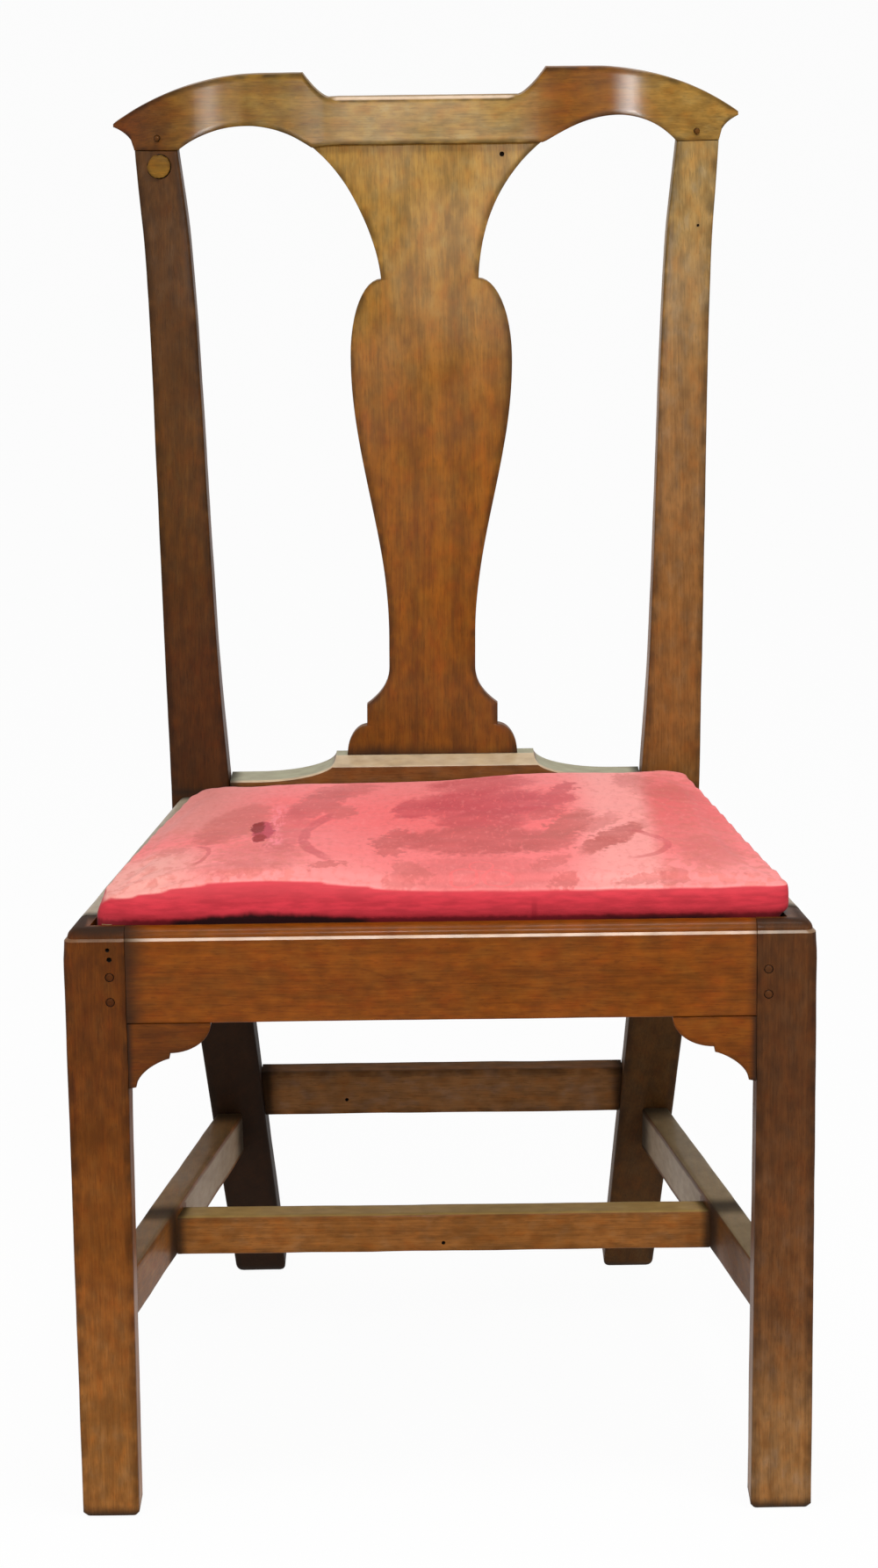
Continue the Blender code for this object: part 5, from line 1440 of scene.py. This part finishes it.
def leafwise(place, middle, length, width, angle=0.0):
    """Places across and along a leaf, each 1 at its edge; the place's third number is 1."""
    turn = math.radians(angle)
    found = []
    for way, size in (((math.cos(turn), -math.sin(turn)), width), ((math.sin(turn), math.cos(turn)), length)):
        start = -(way[0] * middle[0] + way[1] * middle[1]) / size
        found.append(place.node("ShaderNodeVectorMath", {"operation": "DOT_PRODUCT"},
                                {0: place, 1: (way[0] / size, way[1] / size, start)}, "Value"))
    return found


def distance(place, *leaf):
    """Square of the distance from a leaf's middle, 1 at its edge."""
    across, lengthwise = leafwise(place, *leaf)
    return across * across + lengthwise * lengthwise


def damask_ground(start, x, depth, drift):
    """The ground between the leaves: faded more at the sides, and lighter at the front, faded there and with
    a painted sheen where the cover catches the light.
    """
    # Lighter towards the front: fading, with a painted sheen along the front edge
    ground = along(depth + abs(x - 0.02) * -0.30 + (drift - 0.5) * 0.05,
                   ((-0.02, (0.95, 0.285, 0.272)), (0.07, (0.92, 0.205, 0.203)), (0.20, colours().ground),
                    (0.36, (0.93, 0.240, 0.235))))
    grey = ramp(x, -0.11, -0.18) * ramp(depth, 0.13, 0.22)
    ground = mixed(start, ground, rgb((0.70, 0.25, 0.22)), grey * 0.85)
    pale = ramp(x, 0.085, 0.125) * ramp(depth, 0.34, 0.40, 0.3)
    pale = pale.math("MAXIMUM", ramp(x, 0.085, 0.125) * ramp(x, 0.165, 0.150) * 0.9)
    ground = mixed(start, ground, rgb((0.96, 0.36, 0.33)), pale)
    return mixed(start, ground, rgb((0.88, 0.37, 0.32)), ramp(x, -0.15, -0.20) * ramp(depth, 0.15, 0.08))


def damask_figure(start, cloth, flat, calm):
    """The leaves and scrolls, on a ragged place and on a calmer one."""
    for middle, length, width, angle, strength, fading in FIGURE:
        mask = ramp(distance(flat, middle, length, width, angle), 1.36, 0.52, strength)
        tone = [mix(a, b, fading) for a, b in zip(colours().figure, colours().faded)]
        cloth = mixed(start, cloth, rgb(tone), mask)
    for middle, length, width, thick, strength, side in SCROLLS:
        across, lengthwise = leafwise(calm, middle, length, width)
        away = (across * across + lengthwise * lengthwise).math("SQRT")
        mark = ramp(abs(away - 1.0), thick, thick * 0.55, strength)
        if side:
            mark = mark * ramp(across * side, 0.15, 0.55)
        cloth = mixed(start, cloth, rgb(colours().figure if side else colours().ground), mark)
    return cloth


def damask_band(start, spot, ragged):
    """The unfaded sides: a painted shadow at their foot along the rails, a painted highlight near their top,
    and dark stuffing in painted shadow where they open along part of the front.
    """
    x = split(spot)
    z = x.out("Z")
    colour = colours().band
    nap = clouds(spot, (60, 60, 300), 4.0)
    band = mixed(start, rgb(colour, 0.84), rgb(colour, 1.16), ramp(nap, 0.30, 0.70))
    # Darker towards the foot of the band, and very dark in a ragged strip at its edge: a painted shadow on
    # the rail
    band = mixed(start, band, rgb(colour, 0.62), ramp(z, RAIL_TOP + 0.012, RAIL_TOP + 0.001) * 0.6)
    hem = ramp(z + (ragged - 0.5) * 0.004, RAIL_TOP + 0.0045, RAIL_TOP + 0.001, 0.8)
    band = mixed(start, band, rgb(colour, 0.2), hem)
    # Lighter towards the top of the band: a painted highlight where the cover rounds over
    band = mixed(start, band, rgb((0.66, 0.070, 0.085)), ramp(z, RAIL_TOP + 0.012, RAIL_TOP + 0.026, 0.6))
    seam = ramp(abs(x - 0.0665), 0.0030, 0.0008) * ramp(z, RAIL_TOP + 0.018, RAIL_TOP + 0.008)
    band = mixed(start, band, rgb((0.16, 0.004, 0.012)), seam * 0.35)
    # Where the cover has pulled up from the rail it opens on dark stuffing, darkened further as a painted
    # shadow in the gap
    none = (0.0, 0.0, 0.0)
    slight = (0.16, 0.16, 0.16)
    gap = along(x, ((-0.20, none), (-0.13, PLAIN), (-0.10, PLAIN), (-0.035, none),
                    (0.08, none), (0.14, slight), (0.19, slight), (0.215, none)))
    gap = start.node("ShaderNodeSeparateColor", None, {"Color": gap}, "Red")
    gap = gap * ramp(x.out("Y") - FRONT, 0.12, 0.06)
    level = z - RAIL_TOP - gap * 0.0056 + (clouds(spot, (75, 75, 40), 5.0) - 0.5) * 0.008
    opening = ramp(level, 0.0034, -0.0016) * ramp(gap, 0.02, 0.20)
    return mixed(start, band, rgb((0.024, 0.005, 0.006)), opening)


def damask():
    """Faded silk damask: a large palmette with scrolls and sprays, and unfaded crimson sides."""
    material, shader, start = new_finish("damask_finish", Specular_IOR_Level=0.12, Sheen_Weight=0.06,
                                         Sheen_Roughness=0.4)
    spot = object_place(start)
    x = split(spot)
    y = x.out("Y")
    depth = y - FRONT
    drift = clouds(spot, (55, 55, 55), 3.0)
    ragged = clouds(spot, (190, 120, 190), 3.0, (3.0, 1.0, 2.0))
    torn = clouds(spot, (190, 120, 190), 3.0, (8.0, 5.0, 1.0))
    fleck = clouds(spot, (420, 300, 420), 2.0)
    streak = clouds(spot, (330, 60, 330), 2.0, (1.0, 6.0, 2.0))
    flat = joined(start, x + (drift - 0.5) * 0.012 + (ragged - 0.5) * 0.020,
                  depth + (drift - 0.5) * 0.018 + (torn - 0.5) * 0.032, 1.0)
    calm = joined(start, x + (drift - 0.5) * 0.006, depth + (drift - 0.5) * 0.010, 1.0)
    ground = damask_ground(start, x, depth, drift)
    cloth = damask_figure(start, ground, flat, calm)
    sprig = ramp(clouds(spot, (120, 85, 120), 4.0, (5.0, 2.0, 7.0)), 0.49, 0.58, 0.40)
    wooded = ramp(x, 0.13, 0.17).math("MAXIMUM", ramp(x, -0.07, -0.11) * ramp(depth, 0.24, 0.18))
    cloth = mixed(start, cloth, rgb((0.66, 0.165, 0.125)), sprig * wooded)
    worn = ramp(clouds(spot, (26, 34, 26), 3.0), 0.60, 0.28, 0.25)
    rib = ramp(streak, 0.60, 0.70) * ramp(x, -0.02, 0.0) * ramp(x, 0.085, 0.065)
    rubbed = worn + ramp(fleck, 0.55, 0.75, 0.25) + rib * 0.3
    cloth = mixed(start, cloth, ground, rubbed.math("MINIMUM", 1.0))
    cloth = mixed(start, cloth, rgb(colours().faded), ramp(ragged, 0.52, 0.72, 0.13))
    pull = ramp(abs(x + 0.119 + (drift - 0.5) * 0.02), 0.008, 0.002)
    pull = pull * ramp(depth, 0.08, 0.12) * ramp(depth, 0.28, 0.24)
    cloth = mixed(start, cloth, rgb((0.95, 0.24, 0.27)), pull * ramp(streak, 0.40, 0.60) * 0.8)
    thread = clouds(spot, (240, 120, 240), 4.0, (4.0, 1.0, 3.0))
    cloth = mixed(start, cloth, rgb((0.60, 0.11, 0.10)), ramp(thread, 0.52, 0.72, 0.26))
    cloth = mixed(start, cloth, rgb((0.98, 0.33, 0.31)), ramp(thread, 0.46, 0.28, 0.22))
    still = joined(start, x + (fleck - 0.5) * 0.005, depth, 1.0)
    for middle, length, width, colour in TEARS:
        tear = ramp(distance(still, middle, length, width) + (ragged - 0.5) * 2.0, 1.5, 0.8)
        cloth = mixed(start, cloth, rgb(colour), tear)
    side = ramp(facing_up(start) + (drift - 0.5) * 0.10, 0.78, 0.48)
    cloth = mixed(start, cloth, damask_band(start, spot, ragged), side)
    weave = (x * 5200).math("SINE") * (y * 5200).math("SINE") + (x.out("Z") * 5200).math("SINE") * side
    bump = bumped(start, weave * 0.14 + fleck * 0.5, 0.25, 0.0005)
    feed(shader, Base_Color=cloth, Roughness=0.6 + (fleck - 0.5) * 0.2 + side * 0.15, Normal=bump)
    return material


def woven(name, colour, across, stripes=0.0, thread=2400.0):
    """Coarse undyed cloth, with darker stripes along the edges of a strap."""
    material, shader, start = new_finish(name, Specular_IOR_Level=0.15)
    spot = object_place(start)
    x = split(spot)
    y = x.out("Y")
    slub = clouds(spot, (90, 900, 90) if across == "X" else (900, 90, 90), 2.0)
    over = (x * thread).math("SINE") * (y * thread).math("SINE")
    tone = ramp(over * 0.25 + slub, 0.2, 0.85)
    cloth = mixed(start, rgb(colour, 0.55), rgb(colour, 1.25), tone)
    if stripes:
        middle = (x if across == "X" else y).math("PINGPONG", 0.05025)
        stripe = ramp(abs(middle - 0.015), 0.003, 0.002) * stripes
        cloth = mixed(start, cloth, rgb((0.12, 0.03, 0.02)), stripe)
    dust = clouds(spot, (14, 14, 14), 3.0)
    cloth = mixed(start, cloth, rgb(colour, 0.4), ramp(dust, 0.5, 0.75) * 0.6)
    bump = bumped(start, over * 0.4 + slub, 0.5, 0.0006)
    feed(shader, Base_Color=cloth, Roughness=0.86 + 0.1 * (slub - 0.5), Normal=bump)
    return material


def horsehair():
    """Dark curled hair of the stuffing."""
    material, shader, start = new_finish("hair_finish", Specular_IOR_Level=0.3)
    strands = start.node("ShaderNodeTexNoise", {"noise_type": "RIDGED_MULTIFRACTAL"},
                         {"Vector": object_place(start), "Scale": 160.0, "Detail": 3.0})
    body = mixed(start, rgb((0.02, 0.012, 0.008)), rgb((0.12, 0.07, 0.04)), ramp(strands, 0.2, 0.9))
    bump = bumped(start, strands, 0.8, 0.002)
    feed(shader, Base_Color=body, Roughness=0.7 - 0.1 * strands, Normal=bump)
    return material


# The studio

CAMERA_PLACE = (0.0069, FRONT - 2.602, 1.143)
CAMERA_PITCH = 0.2297
CAMERA_YAW = -0.0020
CAMERA_ROLL = -0.0133
FOCAL_PIXELS = 4452
IMAGE_HEIGHT = 1785
SENSOR = 36.0
# Soft boxes: name, place, what they look at, width, height and power
LAMPS = (
    ("key_box", (0.02, -3.3, 2.2), (0.0, 0.1, 0.85), 0.36, 0.5, 45),
    ("left_box", (-2.2, -2.4, 1.6), (0.0, 0.1, 0.75), 1.2, 1.6, 16),
    ("right_box", (2.2, -2.4, 1.6), (0.0, 0.1, 0.75), 1.2, 1.6, 18),
    ("top_box", (0.25, -0.72, 3.0), (0.1, -0.1, 0.4), 1.5, 0.6, 36),
)


def add_camera():
    """A camera where the chair was seen from, level with the back and looking a little down."""
    forward = Vector((math.sin(CAMERA_YAW) * math.cos(CAMERA_PITCH),
                      math.cos(CAMERA_YAW) * math.cos(CAMERA_PITCH), -math.sin(CAMERA_PITCH)))
    level = Vector((math.cos(CAMERA_YAW), -math.sin(CAMERA_YAW), 0.0))
    above = level.cross(forward)
    right = math.cos(CAMERA_ROLL) * level + math.sin(CAMERA_ROLL) * above
    up = math.cos(CAMERA_ROLL) * above - math.sin(CAMERA_ROLL) * level
    data = bpy.data.cameras.new("camera")
    data.sensor_width = SENSOR
    data.lens = FOCAL_PIXELS * SENSOR / IMAGE_HEIGHT
    data.clip_end = 200
    camera = bpy.data.objects.new("camera", data)
    turn = Matrix((right, up, -forward)).transposed().to_4x4()
    camera.matrix_world = Matrix.Translation(CAMERA_PLACE) @ turn
    bpy.context.scene.collection.objects.link(camera)
    bpy.context.scene.camera = camera


def add_lamp(name, place, target, width, height, power):
    """A soft box that looks at a target."""
    data = bpy.data.lights.new(name, "AREA")
    data.shape = "RECTANGLE"
    data.size = width
    data.size_y = height
    data.energy = power
    lamp = bpy.data.objects.new(name, data)
    way = Vector(target) - Vector(place)
    lamp.matrix_world = Matrix.Translation(place) @ way.to_track_quat("-Z", "Y").to_matrix().to_4x4()
    bpy.context.scene.collection.objects.link(lamp)


def white_where_seen(plain, white, share):
    """A shader that turns to white for what the camera sees, directly, through glass or in a reflection."""
    path = plain.node("ShaderNodeLightPath", output="Is Camera Ray")
    seen = path.math("MAXIMUM", path.out("Is Glossy Ray")).math("MAXIMUM", path.out("Is Transmission Ray"))
    return plain.node("ShaderNodeMixShader", None, {0: seen * share, 1: plain, 2: white})


def add_floor(size=90.0):
    """A white floor that shows only as white."""
    corners = [(-size, -size), (size, -size), (size, size), (-size, size)]
    floor = shell("floor", [(x, y, -0.0006) for x, y in corners], [(0, 1, 2, 3)])
    material, shader, start = new_finish("floor_white", Roughness=1.0, Specular_IOR_Level=0.0)
    cloudy = clouds(object_place(start), (2, 2, 2))
    feed(shader, Base_Color=mixed(start, rgb(PLAIN, 0.86), rgb(PLAIN, 0.90), cloudy))
    white = start.node("ShaderNodeEmission", None, {"Color": (1.0, 1.0, 1.0, 1.0), "Strength": 1.0})
    seen = white_where_seen(start, white, 0.96)
    seen.tree.links.new(seen.socket, material.node_tree.nodes["Material Output"].inputs["Surface"])
    floor.data.materials.append(material)


def add_world(strength=0.30):
    """Faint light from all round, behind a white that is seen."""
    world = bpy.data.worlds.new("studio")
    world.use_nodes = True
    bpy.context.scene.world = world
    plain = world.node_tree.nodes["Background"]
    plain.inputs["Color"].default_value = (1.0, 1.0, 1.0, 1.0)
    plain.inputs["Strength"].default_value = strength
    start = Wire(plain.outputs["Background"])
    white = start.node("ShaderNodeBackground", None, {"Color": (1.0, 1.0, 1.0, 1.0), "Strength": 1.0})
    seen = white_where_seen(start, white, 1.0)
    seen.tree.links.new(seen.socket, world.node_tree.nodes["World Output"].inputs["Surface"])


# Operators

class CHAIR_OT_stage(bpy.types.Operator):
    """White floor, soft lamps and the camera"""

    bl_idname = "chair.stage"
    bl_label = "Studio"

    def execute(self, context):
        bpy.context.scene.view_settings.view_transform = "Standard"
        add_world()
        add_floor()
        for lamp in LAMPS:
            add_lamp(*lamp)
        add_camera()
        return {"FINISHED"}


class CHAIR_OT_front_legs(bpy.types.Operator):
    """Square front legs, moulded at the top and let in for the seat"""

    bl_idname = "chair.front_legs"
    bl_label = "Front legs"

    def execute(self, context):
        for seed, (word, side) in enumerate(SIDES.items()):
            node = "front_leg_" + word
            leg = front_leg(side)
            weather(leg, seed + 1)
            cut(leg, seat_well())
            bore_for_pins(leg, node)
            bore_for_nails(leg, node)
            finish = wood(node + "_finish", getattr(colours(), word + "_leg"), "Z", 11 + seed,
                          tint=("Z", LEG_FLOOR_REFLECTION_TINTS[word]), blotches=0.5, line=0.12 + 0.23 * seed,
                          pale=(0.15 + 0.15 * seed, (0.60, 0.43, 0.26)))
            stand(leg, node, finish)
        return {"FINISHED"}


class CHAIR_OT_rear_posts(bpy.types.Operator):
    """Raked back legs that run up as the posts of the back"""

    bl_idname = "chair.rear_posts"
    bl_label = "Rear posts"

    def execute(self, context):
        for seed, (word, side) in enumerate(SIDES.items()):
            node = "rear_post_" + word
            post = rear_post(side)
            weather(post, seed + 3)
            bore_for_pins(post, node)
            bore_for_nails(post, node)
            # shade paints the shadow under the seat on the posts, darker below the rails
            finish = wood(node + "_finish", getattr(colours(), word + "_post"), "Z", 21 + seed,
                          lean=BACK_LEAN, tint=("Z", POST_SHEEN_TINTS[word]), polish=0.12 * seed + 0.03,
                          gloss=0.30, shade=(0.30, 0.52, 0.90 - 0.15 * seed))
            stand(post, node, finish)
        return {"FINISHED"}


class CHAIR_OT_seat_rails(bpy.types.Operator):
    """Seat rails with a rounded top edge and a rabbet for the seat"""

    bl_idname = "chair.seat_rails"
    bl_label = "Seat rails"

    def execute(self, context):
        rails = {"front_seat_rail": (front_seat_rail(), "X"), "rear_seat_rail": (rear_seat_rail(), "X")}
        for word, side in SIDES.items():
            rails["side_seat_rail_" + word] = (side_seat_rail(side), "Y")
        for seed, (node, (rail, grain)) in enumerate(rails.items()):
            weather(rail, seed + 5)
            # The side rails' tops get dust with a painted sheen, and the slope a painted highlight from pale
            dust = (0.8, (0.46, 0.46, 0.36)) if grain == "Y" else None
            finish = wood(node + "_finish", colours().rail, grain, 31 + seed, line=0.75, dust=dust,
                          pale=(0.42, (0.80, 0.56, 0.34)))
            stand(rail, node, finish)
        return {"FINISHED"}


class CHAIR_OT_brackets(bpy.types.Operator):
    """Shaped brackets between the front legs and the front rail"""

    bl_idname = "chair.brackets"
    bl_label = "Brackets"

    def execute(self, context):
        for seed, (word, side) in enumerate(SIDES.items()):
            node = "front_bracket_" + word
            colour = rgb(colours().rail, 0.63 if word == "left" else 0.92)
            finish = wood(node + "_finish", colour, "X", 41 + seed, rubbed=0.7)
            stand(front_bracket(side), node, finish)
        return {"FINISHED"}


class CHAIR_OT_crest(bpy.types.Operator):
    """Eared crest rail, bowed in plan"""

    bl_idname = "chair.crest"
    bl_label = "Crest rail"

    def execute(self, context):
        crest = crest_rail()
        weather(crest, 9)
        bore_for_pins(crest, "crest_rail")
        # rubbed darkens the crest's edges as painted shade, and pale paints a highlight on the dip's top edge
        finish = wood("crest_rail_finish", colours().crest, "X", 51, tint=("X", CREST_COLOUR_AND_SHEEN), rubbed=0.35,
                      polish=0.08, gloss=0.20, blotches=0.15, line=0.2, pale=(0.8, (0.78, 0.62, 0.50)),
                      handled=((-0.180, 0.022, 0.27), (0.161, 0.020, 0.46)))
        stand(crest, "crest_rail", finish)
        return {"FINISHED"}


class CHAIR_OT_splat(bpy.types.Operator):
    """Solid vase splat and the shoe that carries it"""

    bl_idname = "chair.splat"
    bl_label = "Splat and shoe"

    def execute(self, context):
        vase = splat()
        weather(vase, 11, 0.00012)
        bore_for_nails(vase, "splat")
        finish = wood("splat_finish", colours().splat, "Z", 61, lean=BACK_LEAN, tint=("Z", SPLAT_SHEEN_TINTS),
                      rubbed=0.4, polish=0.12, gloss=0.30, blotches=0.15)
        stand(vase, "splat", finish)
        # The shoe's coves and top get dust with a painted sheen, and its chamfer a painted highlight from
        # pale
        finish = wood("shoe_finish", colours().shoe, "X", 62, gloss=0.20, line=0.6,
                      dust=(0.95, (0.425, 0.435, 0.287)), pale=(0.95, (0.64, 0.51, 0.38)))
        stand(shoe(), "shoe", finish)
        return {"FINISHED"}


# How bright each stretcher is, and the share and colour of the dust on its upward faces, with a painted sheen
STRETCHER_DUST_AND_SHEEN = {
    "medial_stretcher": (1.0, (0.75, (0.55, 0.41, 0.14))),
    "side_stretcher_left": (0.88, (0.55, (0.26, 0.20, 0.10))),
    "side_stretcher_right": (0.47, (0.8, (0.34, 0.27, 0.15))),
}


class CHAIR_OT_stretchers(bpy.types.Operator):
    """Worn stretchers between the legs"""

    bl_idname = "chair.stretchers"
    bl_label = "Stretchers"

    def execute(self, context):
        bars = {"medial_stretcher": (medial_stretcher(), "X"), "rear_stretcher": (rear_stretcher(), "X")}
        for word, side in SIDES.items():
            bars["side_stretcher_" + word] = (side_stretcher(side), "Y")
        for seed, (node, (piece, grain)) in enumerate(bars.items()):
            weather(piece, seed + 13, 0.0004)
            bore_for_nails(piece, node)
            if node in STRETCHER_DUST_AND_SHEEN:
                # dust adds dust with a painted sheen to the tops, and pale a painted highlight on the side
                # stretchers' inner faces
                share, dust = STRETCHER_DUST_AND_SHEEN[node]
                finish = wood(node + "_finish", rgb(colours().stretcher, share), grain, 71 + seed, rubbed=0.8,
                              dull=0.5, line=0.0, dust=dust, pale=(0.95, (0.46, 0.36, 0.25)))
            else:
                finish = wood(node + "_finish", colours().rear_stretcher, grain, 71 + seed, polish=0.0,
                              dull=0.75)
            stand(piece, node, finish)
        return {"FINISHED"}


class CHAIR_OT_pins(bpy.types.Operator):
    """Whittled pegs in the joints and the round plug in the left post"""

    bl_idname = "chair.pins"
    bl_label = "Pegs and plug"

    def execute(self, context):
        light = wood("plug_finish", colours().plug, "X", 82)
        around = {"front_leg_left": ("left_leg", 0.55), "front_leg_right": ("right_leg", 0.95),
                  "rear_post_left": ("left_post", 0.8), "rear_post_right": ("right_post", 0.8),
                  "crest_rail": ("crest", 0.5)}
        for parent, names in PINS_OF.items():
            key, share = around[parent]
            dark = wood(parent + "_peg_finish", rgb(getattr(colours(), key), share), "Y", 81, blotches=0.0)
            slot = "post_wood" if parent == "crest_rail" else "rail_wood"
            for seed, node in enumerate(names):
                plug = node == "post_plug"
                piece = pin("pin", *node_line(node), 0.0004, seed + 91, 32 if plug else 16)
                stand(piece, node, light if plug else dark)
        return {"FINISHED"}


class CHAIR_OT_cushion(bpy.types.Operator):
    """Stuffed and covered top of the drop-in seat"""

    bl_idname = "chair.cushion"
    bl_label = "Cushion"

    def execute(self, context):
        cover = seat_cover()
        settle(cover, "drop_in_seat", damask(), "seat_cover")
        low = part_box("seat_stuffing")[0].z
        hair = pad("seat_stuffing_hair", 0.006, low + 0.0008, 0.0045)
        for vertex in hair.data.vertices:
            right, back = tuck(vertex.co.x, vertex.co.y - FRONT, vertex.co.z)
            vertex.co += Vector((right, back, 0.0))
        smooth(hair)
        settle(hair, "drop_in_seat", horsehair(), "seat_stuffing")
        return {"FINISHED"}


class CHAIR_OT_webbing(bpy.types.Operator):
    """Woven straps and base cloth under the stuffing"""

    bl_idname = "chair.webbing"
    bl_label = "Webbing"

    def execute(self, context):
        for way, across in (("lengthwise", "X"), ("crosswise", "Y")):
            finish = woven("web_" + way + "_finish", colours().linen, across, 0.8)
            for number in range(1, 4):
                node = "web_%s_%d" % (way, number)
                piece = strap(node + "_strap", node, way == "lengthwise", number)
                settle(piece, "drop_in_seat", finish, node)
        cloth = thin_cloth("base_cloth_linen", "base_cloth")
        settle(cloth, "drop_in_seat", woven("base_cloth_finish", colours().linen, "X"), "base_cloth")
        low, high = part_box("base_cloth")
        inset = seat_half(low.y - FRONT) - high.x
        back = 2 * (seat_half(high.y - FRONT) - inset)
        flat = (high.x - low.x, high.y - low.y)
        flat[1] * (flat[0] + back) / 2
        return {"FINISHED"}


class CHAIR_OT_hidden_wood(bpy.types.Operator):
    """Seat frame and corner blocks, of bare wood"""

    bl_idname = "chair.hidden_wood"
    bl_label = "Seat frame and blocks"

    def execute(self, context):
        grains = {"seat_frame_front": "X", "seat_frame_back": "X"}
        grains.update({"seat_frame_" + word: "Y" for word in SIDES})
        for end in ("front", "rear"):
            grains.update({"%s_corner_block_%s" % (end, word): "Z" for word in SIDES})
        for seed, (node, grain) in enumerate(grains.items()):
            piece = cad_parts[node]
            finish = wood(node + "_finish", colours().inner, grain, 101 + seed, rubbed=0.9, polish=0.0,
                          dull=0.7)
            piece.data.materials.clear()
            piece.data.materials.append(finish)
            bevel = piece.modifiers.new("eased", "BEVEL")
            bevel.width = 0.0008
            bevel.segments = 2
        return {"FINISHED"}


class VIEW3D_PT_chair(bpy.types.Panel):
    """Sizes, colours and pieces of the chair"""

    bl_label = "Fiddleback chair"
    bl_space_type = "VIEW_3D"
    bl_region_type = "UI"
    bl_category = "Chair"

    def draw(self, context):
        for operator in OPERATORS:
            self.layout.operator(operator.bl_idname)
        for group in (context.scene.chair_sizes, context.scene.chair_colours):
            for key in group.__annotations__:
                self.layout.prop(group, key)


OPERATORS = (CHAIR_OT_stage, CHAIR_OT_front_legs, CHAIR_OT_rear_posts, CHAIR_OT_seat_rails, CHAIR_OT_brackets,
             CHAIR_OT_crest, CHAIR_OT_splat, CHAIR_OT_stretchers, CHAIR_OT_pins, CHAIR_OT_cushion,
             CHAIR_OT_webbing, CHAIR_OT_hidden_wood)
CLASSES = (ChairSizes, ChairColours, *OPERATORS, VIEW3D_PT_chair)


def register():
    for kind in CLASSES:
        bpy.utils.register_class(kind)
    bpy.types.Scene.chair_sizes = bpy.props.PointerProperty(type=ChairSizes)
    bpy.types.Scene.chair_colours = bpy.props.PointerProperty(type=ChairColours)


def unregister():
    del bpy.types.Scene.chair_sizes
    del bpy.types.Scene.chair_colours
    for kind in reversed(CLASSES):
        bpy.utils.unregister_class(kind)


def main():
    register()
    for operator in OPERATORS:
        group, name = operator.bl_idname.split(".")
        getattr(getattr(bpy.ops, group), name)()


if __name__ == "__main__":
    main()
